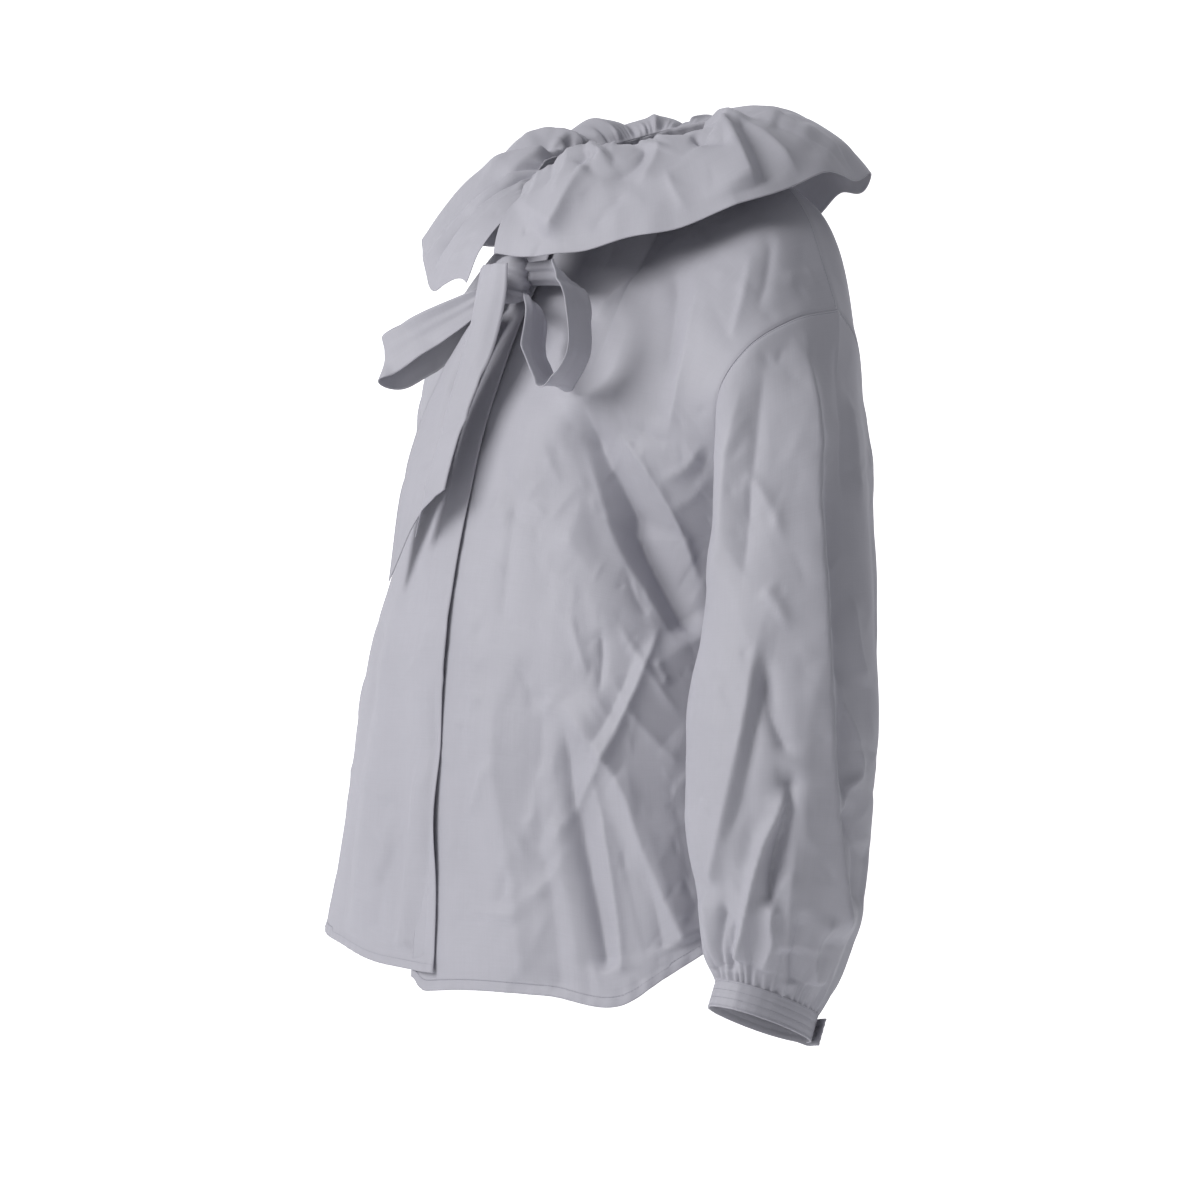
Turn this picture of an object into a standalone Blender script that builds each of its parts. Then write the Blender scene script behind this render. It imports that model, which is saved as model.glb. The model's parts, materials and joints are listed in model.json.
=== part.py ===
"""A loose blouse, worn and hollow: two fronts with a covered closing, a back,
two drop-shoulder balloon sleeves with narrow cuffs, a neck band, a wide
gathered collar frill and a ribbon bow.

Metres, +Z up.  The wearer faces -Y and the wearer's left is +X.  The origin is
the middle of the neck opening, at the height of the shoulder neck points,
where the wearer holds the blouse up.  Every piece is a cloth wall made from a
grid of points on its middle surface, given half the wall to each side.
"""
import math

import bpy
import numpy as np

# ---------------------------------------------------------------- sizes
WALL = 0.0013          # cloth wall with its seam allowances
GAP = 0.0003           # between neighbouring pieces at a seam
LAP = 0.015            # each front passes the centre line by this much
LAP_LIFT = 0.0026      # the upper front lies this far in front of the lower one
NECK_SPLIT = 95.0      # degrees round the neck at which the shoulder seam starts
UNDERARM = 0.40        # share of a panel's height where armhole meets side seam
UNDERARM_EASE = 0.0024 # the sleeve stands off the side seam at the underarm
CUFF_HEIGHT = 0.020
CUFF_LAP = 0.016       # the cuff's ends pass each other by this much
FOREARM_LEAN = 0.40    # how far the forearm leans forward, per unit of drop
BUTTON_RADIUS = 0.0055
BUTTON_THICK = 0.0022

NECK_FRONT_STEPS = 7   # from the centre front to the shoulder seam
NECK_BACK_STEPS = 6    # from the shoulder seam to the centre back
SHOULDER_STEPS = 7
ARMHOLE_STEPS = 9
SIDE_STEPS = 9
SLEEVE_STEPS = 15

CLOTH = (0.42, 0.42, 0.48)


def table(names, *rows):
    """Rows of numbers as named columns."""
    names = names.split()
    return {name: np.array([row[k] for row in rows], float) for k, name in enumerate(names)}


# Centre front and centre back of the body, from neck to hem.
CENTRE = table(
    "v     front_y front_z  back_y back_z  front_grip back_grip",
    (0.00, -0.100, -0.075,  0.085,  0.008, 0.070, 0.080),
    (0.08, -0.117, -0.110,  0.098, -0.035, 0.080, 0.095),
    (0.16, -0.138, -0.150,  0.106, -0.085, 0.095, 0.105),
    (0.24, -0.156, -0.190,  0.109, -0.140, 0.105, 0.112),
    (0.32, -0.173, -0.232,  0.108, -0.200, 0.115, 0.115),
    (0.40, -0.187, -0.280,  0.104, -0.260, 0.120, 0.117),
    (0.55, -0.205, -0.360,  0.094, -0.360, 0.125, 0.120),
    (0.70, -0.214, -0.445,  0.086, -0.455, 0.135, 0.125),
    (0.85, -0.217, -0.545,  0.080, -0.545, 0.150, 0.132),
    (1.00, -0.221, -0.645,  0.078, -0.635, 0.165, 0.140),
)
# The outer edge of each front: the front of the armhole, then the side seam.
# aim_x, aim_y, aim_z is where the cloth heads from that edge, grip how firmly.
FRONT_EDGE_LEFT = table(
    "v      x       y       z      aim_x  aim_y  aim_z  grip",
    (0.00,  0.235, -0.012, -0.143, -0.70,  0.05,  0.60, 0.060),
    (0.08,  0.241, -0.062, -0.153, -0.80, -0.35,  0.45, 0.060),
    (0.16,  0.234, -0.105, -0.177, -0.95, -0.25,  0.15, 0.060),
    (0.24,  0.222, -0.122, -0.215, -1.00, -0.20,  0.00, 0.060),
    (0.32,  0.211, -0.095, -0.268, -0.60, -0.80,  0.00, 0.060),
    (0.40,  0.198, -0.035, -0.325,  0.00, -1.00,  0.00, 0.080),
    (0.55,  0.204, -0.045, -0.395,  0.05, -1.00,  0.00, 0.100),
    (0.70,  0.215, -0.052, -0.465,  0.05, -1.00,  0.00, 0.100),
    (0.85,  0.231, -0.057, -0.540,  0.00, -1.00,  0.00, 0.100),
    (1.00,  0.246, -0.060, -0.592,  0.00, -1.00,  0.00, 0.100),
)
FRONT_EDGE_RIGHT = table(
    "v      x       y       z      aim_x  aim_y  aim_z  grip",
    (0.00, -0.228,  0.004, -0.143,  0.70,  0.00,  0.60, 0.060),
    (0.08, -0.229, -0.030, -0.155,  0.75, -0.45,  0.45, 0.055),
    (0.16, -0.219, -0.056, -0.180,  0.80, -0.60,  0.15, 0.055),
    (0.24, -0.208, -0.064, -0.218,  0.75, -0.65,  0.00, 0.060),
    (0.32, -0.198, -0.048, -0.270,  0.50, -0.85,  0.00, 0.070),
    (0.40, -0.188, -0.012, -0.325,  0.00, -1.00,  0.00, 0.090),
    (0.55, -0.196, -0.030, -0.395, -0.02, -1.00,  0.00, 0.100),
    (0.70, -0.208, -0.042, -0.465, -0.03, -1.00,  0.00, 0.105),
    (0.85, -0.226, -0.052, -0.540,  0.00, -1.00,  0.00, 0.105),
    (1.00, -0.244, -0.060, -0.592,  0.00, -1.00,  0.00, 0.110),
)
# The outer edge of the back: the back of each armhole, then the side seam.
BACK_EDGE_LEFT = table(
    "v      x       y       z      aim_x  aim_y  aim_z  grip",
    (0.00,  0.235, -0.012, -0.143, -0.70,  0.25,  0.55, 0.060),
    (0.08,  0.227,  0.014, -0.163, -0.50,  0.45,  0.75, 0.075),
    (0.16,  0.213,  0.034, -0.195, -0.60,  0.60,  0.45, 0.065),
    (0.24,  0.202,  0.040, -0.235, -0.70,  0.70,  0.00, 0.050),
    (0.32,  0.197,  0.022, -0.282, -0.40,  0.90,  0.00, 0.055),
    (0.40,  0.198, -0.035, -0.325,  0.00,  1.00,  0.00, 0.070),
    (0.55,  0.204, -0.045, -0.395,  0.00,  1.00,  0.00, 0.080),
    (0.70,  0.215, -0.052, -0.465,  0.00,  1.00,  0.00, 0.080),
    (0.85,  0.231, -0.057, -0.540,  0.00,  1.00,  0.00, 0.080),
    (1.00,  0.246, -0.060, -0.592,  0.00,  1.00,  0.00, 0.080),
)
BACK_EDGE_RIGHT = table(
    "v      x       y       z      aim_x  aim_y  aim_z  grip",
    (0.00, -0.228,  0.004, -0.143,  0.70,  0.25,  0.55, 0.060),
    (0.08, -0.226,  0.036, -0.163,  0.50,  0.45,  0.75, 0.075),
    (0.16, -0.215,  0.060, -0.195,  0.60,  0.60,  0.45, 0.065),
    (0.24, -0.203,  0.068, -0.235,  0.70,  0.70,  0.00, 0.050),
    (0.32, -0.193,  0.046, -0.282,  0.40,  0.90,  0.00, 0.055),
    (0.40, -0.188, -0.012, -0.325,  0.00,  1.00,  0.00, 0.070),
    (0.55, -0.196, -0.030, -0.395,  0.00,  1.00,  0.00, 0.080),
    (0.70, -0.208, -0.042, -0.465,  0.00,  1.00,  0.00, 0.080),
    (0.85, -0.226, -0.052, -0.540,  0.00,  1.00,  0.00, 0.080),
    (1.00, -0.244, -0.060, -0.592,  0.00,  1.00,  0.00, 0.080),
)
# Hem height along each panel, from the centre to the side seam.
HEM_LEFT = table("u z", (0.0, -0.657), (0.08, -0.653), (0.3, -0.651), (0.5, -0.654),
                 (0.6, -0.635), (0.7, -0.618), (0.8, -0.603), (0.9, -0.594), (1.0, -0.592))
HEM_RIGHT = table("u z", (0.0, -0.642), (0.15, -0.640), (0.3, -0.631), (0.45, -0.628),
                  (0.6, -0.625), (0.8, -0.608), (1.0, -0.592))
HEM_BACK = table("u z", (0.0, -0.635), (0.3, -0.634), (0.55, -0.629), (0.75, -0.617),
                 (0.9, -0.598), (1.0, -0.592))
# The neckline of the body and the seam of the frill above it, for the left
# side; the right side is its mirror image.
NECK = table(
    "angle  low_x  low_y   low_z   top_x  top_y   top_z",
    (0.0,   0.003, -0.100, -0.075, 0.003, -0.108, -0.052),
    (20.0,  0.034, -0.092, -0.062, 0.022, -0.094, -0.030),
    (40.0,  0.056, -0.074, -0.042, 0.040, -0.072, -0.012),
    (65.0,  0.073, -0.040, -0.022, 0.055, -0.040, -0.002),
    (95.0,  0.079,  0.004, -0.010, 0.062,  0.004,  0.008),
    (120.0, 0.071,  0.042, -0.003, 0.056,  0.036,  0.017),
    (150.0, 0.042,  0.074,  0.005, 0.034,  0.060,  0.026),
    (180.0, 0.000,  0.085,  0.008, 0.000,  0.068,  0.030),
)
# The shoulder seam of the left side, from the neck to the sleeve.
SHOULDER = table(
    "t     x      y       z",
    (0.0,  0.079,  0.004, -0.010),
    (0.25, 0.120,  0.008, -0.023),
    (0.5,  0.160,  0.008, -0.044),
    (0.7,  0.192,  0.001, -0.074),
    (0.85, 0.214, -0.006, -0.108),
    (1.0,  0.235, -0.012, -0.143),
)
# Sections of each sleeve below the armhole: centre, half sizes along X and Y,
# and how far the section leans with the forearm.
SLEEVE_LEFT = table(
    "t     x      y       z      half_x half_y lean",
    (0.00, 0.232, -0.052, -0.245, 0.050, 0.060, -0.60),
    (0.20, 0.262, -0.082, -0.310, 0.052, 0.061, -0.30),
    (0.40, 0.279, -0.105, -0.385, 0.054, 0.068, -0.10),
    (0.60, 0.287, -0.117, -0.455, 0.057, 0.075,  0.00),
    (0.75, 0.290, -0.122, -0.520, 0.056, 0.073,  0.10),
    (0.88, 0.291, -0.128, -0.580, 0.049, 0.062,  0.25),
    (0.96, 0.291, -0.133, -0.625, 0.038, 0.048,  0.36),
    (1.00, 0.291, -0.136, -0.643, 0.030, 0.0395, 0.40),
)
SLEEVE_RIGHT = table(
    "t     x       y       z      half_x half_y lean",
    (0.00, -0.224, -0.004, -0.245, 0.050, 0.060, -0.60),
    (0.20, -0.246,  0.016, -0.310, 0.052, 0.061, -0.40),
    (0.40, -0.260,  0.046, -0.385, 0.054, 0.066, -0.30),
    (0.60, -0.267,  0.066, -0.455, 0.056, 0.070, -0.15),
    (0.75, -0.270,  0.070, -0.520, 0.055, 0.069,  0.00),
    (0.88, -0.271,  0.066, -0.575, 0.048, 0.060,  0.20),
    (0.96, -0.271,  0.061, -0.612, 0.038, 0.048,  0.35),
    (1.00, -0.271,  0.057, -0.628, 0.030, 0.0395, 0.40),
)
# The frill, round the neck from the centre front on the left side: its high
# line and its rim.  It starts on the seam line given by NECK.
FRILL = table(
    "angle  mid_x   mid_y   mid_z   rim_x   rim_y   rim_z",
    (0.0,    0.012, -0.148, -0.056,  0.020, -0.170, -0.096),
    (20.0,   0.046, -0.136, -0.046,  0.064, -0.154, -0.099),
    (40.0,   0.080, -0.112, -0.030,  0.104, -0.137, -0.094),
    (62.0,   0.108, -0.078, -0.016,  0.152, -0.106, -0.083),
    (90.0,   0.132, -0.028,  0.002,  0.197, -0.044, -0.054),
    (112.0,  0.124,  0.030,  0.020,  0.193,  0.026, -0.036),
    (135.0,  0.100,  0.080,  0.028,  0.164,  0.092, -0.030),
    (158.0,  0.054,  0.118,  0.030,  0.078,  0.146, -0.036),
    (180.0,  0.000,  0.124,  0.030,  0.000,  0.164, -0.042),
    (205.0, -0.054,  0.112,  0.034, -0.080,  0.140, -0.040),
    (228.0, -0.094,  0.070,  0.036, -0.154,  0.092, -0.046),
    (255.0, -0.112,  0.010,  0.030, -0.192,  0.012, -0.058),
    (282.0, -0.104, -0.052,  0.008, -0.186, -0.072, -0.070),
    (310.0, -0.080, -0.102, -0.028, -0.127, -0.127, -0.078),
    (338.0, -0.044, -0.136, -0.058, -0.072, -0.160, -0.109),
    (360.0, -0.013, -0.150, -0.073, -0.027, -0.168, -0.119),
)
# Ribbons of the bow: middle line, direction of the width, width, and the depth
# of the fold along the middle.
LOOP_LEFT = table(
    "t     x      y       z       wide_x wide_y wide_z width fold",
    (0.00, 0.0285, -0.142, -0.110, 0.0, -0.3, 1.0, 0.018, 0.002),
    (0.15, 0.060, -0.141, -0.111, 0.1,  -0.4, 0.8, 0.022, 0.002),
    (0.30, 0.094, -0.157, -0.117, 0.3,  -0.9, 0.2, 0.032, 0.001),
    (0.45, 0.126, -0.174, -0.145, 0.4,  -0.9, 0.0, 0.038, 0.001),
    (0.58, 0.130, -0.178, -0.181, 0.4,  -0.9, 0.0, 0.038, 0.001),
    (0.68, 0.108, -0.182, -0.202, 0.4,  -0.9, 0.0, 0.038, 0.001),
    (0.78, 0.084, -0.180, -0.176, 0.4,  -0.9, 0.0, 0.036, 0.001),
    (0.90, 0.064, -0.164, -0.142, 0.3,  -0.8, 0.2, 0.026, 0.002),
    (1.00, 0.029, -0.146, -0.128, 0.1,  -0.5, 0.8, 0.010, 0.002),
)
LOOP_RIGHT = table(
    "t     x       y       z       wide_x wide_y wide_z width fold",
    (0.00, -0.0105, -0.143, -0.119, 0.1, 0.0, 1.0, 0.012, 0.002),
    (0.16, -0.040, -0.158, -0.136, 0.0,  0.2, 1.0, 0.026, 0.003),
    (0.34, -0.078, -0.178, -0.157, 0.0,  0.2, 1.0, 0.034, 0.002),
    (0.46, -0.101, -0.184, -0.171, 0.0,  0.2, 1.0, 0.038, 0.001),
    (0.54, -0.101, -0.170, -0.175, 0.0,  0.2, 1.0, 0.038, 0.001),
    (0.66, -0.076, -0.156, -0.164, 0.0,  0.2, 1.0, 0.034, 0.001),
    (0.84, -0.040, -0.144, -0.143, 0.0,  0.1, 1.0, 0.024, 0.001),
    (1.00, -0.0105, -0.138, -0.127, 0.1, 0.0, 1.0, 0.012, 0.001),
)
TAIL_LEFT = table(
    "t     x       y       z       wide_x wide_y wide_z width fold",
    (0.00,  0.017, -0.167, -0.104, 1.0, -0.1, 0.0, 0.040, 0.006),
    (0.12,  0.017, -0.171, -0.129, 1.0, -0.1, 0.0, 0.045, 0.009),
    (0.26,  0.014, -0.177, -0.165, 1.0, -0.2, 0.0, 0.043, 0.011),
    (0.45,  0.004, -0.190, -0.212, 1.0, -0.3, 0.0, 0.040, 0.010),
    (0.70, -0.002, -0.204, -0.262, 1.0, -0.3, 0.0, 0.040, 0.008),
    (1.00, -0.006, -0.216, -0.312, 1.0, -0.3, 0.0, 0.040, 0.006),
)
TAIL_RIGHT = table(
    "t     x       y       z       wide_x wide_y wide_z width fold",
    (0.00, -0.008, -0.150, -0.133, 1.0,  0.3, 0.0, 0.016, 0.003),
    (0.20, -0.022, -0.160, -0.168, 1.0,  0.2, 0.0, 0.032, 0.005),
    (0.45, -0.036, -0.178, -0.220, 1.0,  0.1, 0.0, 0.042, 0.004),
    (0.70, -0.040, -0.194, -0.272, 1.0,  0.1, 0.0, 0.046, 0.004),
    (1.00, -0.036, -0.208, -0.345, 1.0,  0.1, 0.0, 0.046, 0.003),
)
KNOT_CENTRE = (0.009, -0.146, -0.115)
KNOT_HALF = (0.0155, 0.0105, 0.0165)


# ---------------------------------------------------------------- curves
def smooth(keys, values, at):
    """A smooth curve through values at rising keys, read at the given places."""
    at = np.clip(np.asarray(at, float), keys[0], keys[-1])
    values = np.asarray(values, float)
    step = np.diff(keys)
    slope = np.diff(values) / step
    tangent = np.empty_like(values)
    tangent[0], tangent[-1] = slope[0], slope[-1]
    tangent[1:-1] = (slope[:-1] * step[1:] + slope[1:] * step[:-1]) / (step[1:] + step[:-1])
    k = np.clip(np.searchsorted(keys, at, side="right") - 1, 0, len(keys) - 2)
    h = step[k]
    t = (at - keys[k]) / h
    return (values[k] * (1 + 2 * t) * (1 - t) ** 2 + h * tangent[k] * t * (1 - t) ** 2
            + values[k + 1] * t * t * (3 - 2 * t) + h * tangent[k + 1] * t * t * (t - 1))


def read(rows, key, names, at):
    """Several columns of a table at once, as points."""
    return np.stack([smooth(rows[key], rows[name], at) for name in names.split()], axis=-1)


def read_edge(rows, names, at):
    """An outer edge's columns: the armhole, then the side seam, with a corner
    at the underarm."""
    at = np.asarray(at, float)
    arm = {k: a[rows["v"] <= UNDERARM + 1e-9] for k, a in rows.items()}
    side = {k: a[rows["v"] >= UNDERARM - 1e-9] for k, a in rows.items()}
    return np.where((at <= UNDERARM)[..., None], read(arm, "v", names, at), read(side, "v", names, at))


def ease(low, high, x):
    t = np.clip((np.asarray(x, float) - low) / (high - low), 0.0, 1.0)
    return t * t * (3 - 2 * t)


def unit(vectors):
    return vectors / np.maximum(np.linalg.norm(vectors, axis=-1, keepdims=True), 1e-12)


def bezier(a, b, c, d, t):
    return (a * (1 - t) ** 3 + 3 * b * t * (1 - t) ** 2 + 3 * c * t * t * (1 - t) + d * t ** 3)


# ---------------------------------------------------------------- neck
def neck_nodes(which):
    """The neck's seam points: angle, and point on its low or top line."""
    front = np.linspace(0.0, NECK_SPLIT, NECK_FRONT_STEPS + 1)
    back = np.linspace(NECK_SPLIT, 180.0, NECK_BACK_STEPS + 1)[1:]
    angles = np.concatenate([front, back])
    left = read(NECK, "angle", f"{which}_x {which}_y {which}_z", angles)
    right = left[::-1][1:] * (-1, 1, 1)
    return np.concatenate([angles, 360.0 - angles[::-1][1:]]), np.concatenate([left, right])


def neck_line(which, angles):
    """The neck's seam line as straight stretches between its seam points."""
    keys, points = neck_nodes(which)
    return np.stack([np.interp(angles, keys, points[:, k]) for k in range(3)], axis=-1)


# ---------------------------------------------------------------- body
def panel_top(side, front, u):
    """Neckline, then shoulder seam.  u runs over 0..1 for the neckline and
    over 1..2 for the shoulder seam."""
    u = np.asarray(u, float)
    if front:
        angles = np.clip(u, 0, 1) * NECK_SPLIT
    else:
        angles = 180.0 - np.clip(u, 0, 1) * (180.0 - NECK_SPLIT)
    neck = read(NECK, "angle", "low_x low_y low_z", angles)
    seam = read(SHOULDER, "t", "x y z", np.clip(u - 1, 0, 1))
    points = np.where((u > 1)[..., None], seam, neck)
    if side < 0:
        drift = ease(0, 1, np.clip(u - 1, 0, 1))[..., None]
        points = points * (-1, 1, 1) + drift * np.array((0.007, 0.016, 0.0))
    return points


def panel_rows(side, front, share, v):
    """Points of a front or of half the back below its top edge: share runs
    from the centre line to the outer edge, v from neck to hem."""
    end = {(1, True): FRONT_EDGE_LEFT, (-1, True): FRONT_EDGE_RIGHT,
           (1, False): BACK_EDGE_LEFT, (-1, False): BACK_EDGE_RIGHT}[side, front]
    name = "front" if front else "back"
    y, z, reach = (smooth(CENTRE["v"], CENTRE[f"{name}_{k}"], v) for k in ("y", "z", "grip"))
    start = np.stack([np.zeros_like(y), y, z], axis=-1)
    start_grip = start + np.stack([side * reach, 0 * y, 0 * y], axis=-1)
    stop = read_edge(end, "x y z", v)
    stop_grip = stop + unit(read_edge(end, "aim_x aim_y aim_z", v)) * read_edge(end, "grip", v)
    t = share[..., None]
    points = bezier(start, start_grip, stop_grip, stop, t)
    hem = {(1, True): HEM_LEFT, (-1, True): HEM_RIGHT}.get((side, front), HEM_BACK)
    drop = smooth(hem["u"], hem["z"], share)
    ones = np.ones_like(share)
    flat = bezier(*(smooth(CENTRE["v"], CENTRE[f"{name}_z"], ones) if k < 2 else smooth(end["v"], end["z"], ones)
                    for k in range(4)), share)
    points[..., 2] += (drop - flat) * np.clip((v - 0.45) / 0.55, 0, 1) ** 2
    return points


def panel_points(side, front, u, v):
    """The middle surface of a front, or of one half of the back."""
    u, v = np.meshgrid(u, v)
    share = np.where(u <= 1, 0.40 * u, 0.40 + 0.60 * (u - 1))
    pull = panel_top(side, front, u) - panel_rows(side, front, share, 0 * v)
    near = (1 - ease(0.0, 0.30, v))[..., None] ** 1.2
    return panel_rows(side, front, share, v) + pull * near


# ---------------------------------------------------------------- solids
def grid_normals(points, closed):
    """Unit normals of a grid of points, whose rows may close on themselves."""
    if closed:
        across = np.roll(points, -1, axis=1) - np.roll(points, 1, axis=1)
    else:
        across = np.gradient(points, axis=1)
    along = np.gradient(points, axis=0)
    return unit(np.cross(across, along))


def inset(points, sides, closed=False):
    """Draw the named sides of a grid back by half a seam gap."""
    out = points.copy()
    for side in sides:
        edge, inner = {"top": (np.s_[0, :], np.s_[1, :]), "bottom": (np.s_[-1, :], np.s_[-2, :]),
                       "start": (np.s_[:, 0], np.s_[:, 1]), "end": (np.s_[:, -1], np.s_[:, -2])}[side]
        line = out[edge]
        run = (np.roll(line, -1, axis=0) - np.roll(line, 1, axis=0)) if closed else np.gradient(line, axis=0)
        run = unit(run)
        inward = out[inner] - line
        inward = unit(inward - (inward * run).sum(-1, keepdims=True) * run)
        out[edge] = line + inward * GAP / 2
    return out


class Cloth:
    """A grid of points that becomes one closed wall of cloth."""

    def __init__(self, name, points, closed=False, wall=WALL, flip=False):
        self.name, self.points, self.closed, self.wall = name, points, closed, wall
        self.normals = grid_normals(points, closed) * (-1 if flip else 1)
        self.flip = flip

    def rim(self):
        """Indices of the grid's border."""
        rows, cols = self.points.shape[:2]
        marks = np.zeros((rows, cols), bool)
        marks[0, :] = marks[-1, :] = True
        if not self.closed:
            marks[:, 0] = marks[:, -1] = True
        return np.argwhere(marks)

    def inward(self, i, j):
        """From a point of the border into the cloth."""
        rows, cols = self.points.shape[:2]
        total = np.zeros(3)
        if i in (0, rows - 1):
            total = total + unit(self.points[1 if i == 0 else rows - 2, j] - self.points[i, j])
        if not self.closed and j in (0, cols - 1):
            total = total + unit(self.points[i, 1 if j == 0 else cols - 2] - self.points[i, j])
        return unit(total)

    def faces(self):
        rows, cols = self.points.shape[:2]
        count = rows * cols
        span = cols if self.closed else cols - 1
        quads = []
        for i in range(rows - 1):
            for j in range(span):
                k = (j + 1) % cols
                a, b, c, d = i * cols + j, i * cols + k, (i + 1) * cols + k, (i + 1) * cols + j
                quads.append((a, b, c, d))
        outer = [q[::-1] for q in quads] if self.flip else quads
        faces = [tuple(q) for q in outer]
        faces += [tuple(count + k for k in reversed(q)) for q in outer]
        used = {}
        for q in outer:
            for a, b in zip(q, q[1:] + q[:1]):
                used[(a, b)] = True
        for a, b in list(used):
            if (b, a) not in used:
                faces.append((b, a, count + a, count + b))
        return faces

    def build(self, parent):
        shift = self.normals * self.wall / 2
        verts = np.concatenate([(self.points + shift).reshape(-1, 3), (self.points - shift).reshape(-1, 3)])
        return add_object(self.name, verts, self.faces(), parent)


def match_rims(cloths):
    """Where two pieces meet, both rims are cut along the plane that halves the
    angle between them, so that the two walls stay parallel across the seam."""
    owner, index, place, normal, inward = [], [], [], [], []
    for k, cloth in enumerate(cloths):
        for i, j in cloth.rim():
            owner.append(k)
            index.append((i, j))
            place.append(cloth.points[i, j])
            normal.append(cloth.normals[i, j])
            inward.append(cloth.inward(i, j))
    owner, place, normal, inward = (np.array(a) for a in (owner, place, normal, inward))
    near = np.linalg.norm(place[:, None] - place[None, :], axis=-1) < 3 * GAP
    hand = np.cross(normal, inward)
    turn = np.where(hand @ hand.T > 0, -1.0, 1.0)
    turn[owner[:, None] == owner[None, :]] = 1.0
    mean = unit((near * turn) @ normal)
    for k, (i, j), value in zip(owner, index, mean):
        cloths[k].normals[i, j] = value


def add_object(name, verts, faces, parent, colour=CLOTH, rough=0.62):
    mesh = bpy.data.meshes.new(name)
    mesh.from_pydata([tuple(float(c) for c in v) for v in verts], [], [tuple(int(k) for k in f) for f in faces])
    mesh.validate()
    mesh.shade_smooth()
    mesh.set_sharp_from_angle(angle=math.radians(40))
    obj = bpy.data.objects.new(name, mesh)
    material = bpy.data.materials.new(name + "_cloth")
    material.use_nodes = True
    shader = material.node_tree.nodes["Principled BSDF"]
    shader.inputs["Base Color"].default_value = (*colour, 1.0)
    shader.inputs["Roughness"].default_value = rough
    shader.inputs["Metallic"].default_value = 0.0
    mesh.materials.append(material)
    bpy.context.scene.collection.objects.link(obj)
    obj.parent = parent
    return obj


# ---------------------------------------------------------------- pieces
def body_rows():
    arm = np.linspace(0, UNDERARM, ARMHOLE_STEPS + 1)
    side = np.linspace(UNDERARM, 1, SIDE_STEPS + 1)[1:]
    return np.concatenate([arm, side])


def front_panel(side):
    v = body_rows()
    u = np.concatenate([np.linspace(0, 1, NECK_FRONT_STEPS + 1), np.linspace(1, 2, SHOULDER_STEPS + 1)[1:]])
    points = panel_points(side, True, u, v)
    lap = points[:, :1].copy()
    lap[..., 0] = -side * LAP
    lap[..., 1] += 0.0006
    if side > 0:
        lap[0, 0, 2] -= 0.001
    points = np.concatenate([lap, points], axis=1)
    if side < 0:
        lift = 1 - ease(-0.004, 0.045, -points[..., 0])
        points[..., 1] -= LAP_LIFT * lift
    points = inset(points, ["top", "end"])
    return Cloth("front_left" if side > 0 else "front_right", points, flip=side > 0)


def back_panel():
    v = body_rows()
    u = np.concatenate([np.linspace(0, 1, NECK_BACK_STEPS + 1), np.linspace(1, 2, SHOULDER_STEPS + 1)[1:]])
    left = panel_points(1, False, u, v)
    right = panel_points(-1, False, u, v)
    points = np.concatenate([right[:, ::-1], left[:, 1:]], axis=1)
    return Cloth("back", inset(points, ["top", "start", "end"]), flip=True)


def armhole(side):
    """The armhole loop: from the shoulder down the front, up the back."""
    v = np.linspace(0, UNDERARM, ARMHOLE_STEPS + 1)
    front = read_edge(FRONT_EDGE_LEFT if side > 0 else FRONT_EDGE_RIGHT, "x y z", v)
    back = read_edge(BACK_EDGE_LEFT if side > 0 else BACK_EDGE_RIGHT, "x y z", v)
    return np.concatenate([front, back[::-1][1:-1]])


def sleeve_ring(side, rows, t, around):
    """One section: around is 0 on the outer side, then the front, the inner
    side and the back."""
    x, y, z, half_x, half_y, lean = (float(smooth(rows["t"], rows[k], t))
                                     for k in ("x", "y", "z", "half_x", "half_y", "lean"))
    cx = np.cos(around)
    cy = -np.sin(around)
    n = 2.15
    scale = (np.abs(cx) ** n + np.abs(cy) ** n) ** (-1 / n)
    dx, dy = side * half_x * cx * scale, half_y * cy * scale
    return np.stack([x + dx, y + dy, z - lean * dy], axis=-1)


def sleeve(side):
    rows = SLEEVE_LEFT if side > 0 else SLEEVE_RIGHT
    loop = armhole(side)
    around = np.linspace(0, 2 * math.pi, len(loop), endpoint=False)
    rings = []
    for t in np.linspace(0, 1, SLEEVE_STEPS + 1):
        target = sleeve_ring(side, rows, t, around)
        start = loop + (target - sleeve_ring(side, rows, 0.0, around))
        start[:, 0] += side * 0.013 * float(ease(0.0, 0.10, t)) * np.clip(-np.cos(around), 0, 1)
        mix = float(ease(0.0, 0.42, t))
        rings.append(start * (1 - mix) + target * mix)
    points = inset(np.array(rings), ["top", "bottom"], closed=True)
    under = np.clip(-np.cos(around), 0, 1) ** 4
    points[0] += under[:, None] * np.array((side * UNDERARM_EASE, 0.0, -0.3 * UNDERARM_EASE))
    name = "sleeve_left" if side > 0 else "sleeve_right"
    return Cloth(name, points, closed=True, flip=side > 0)


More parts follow.
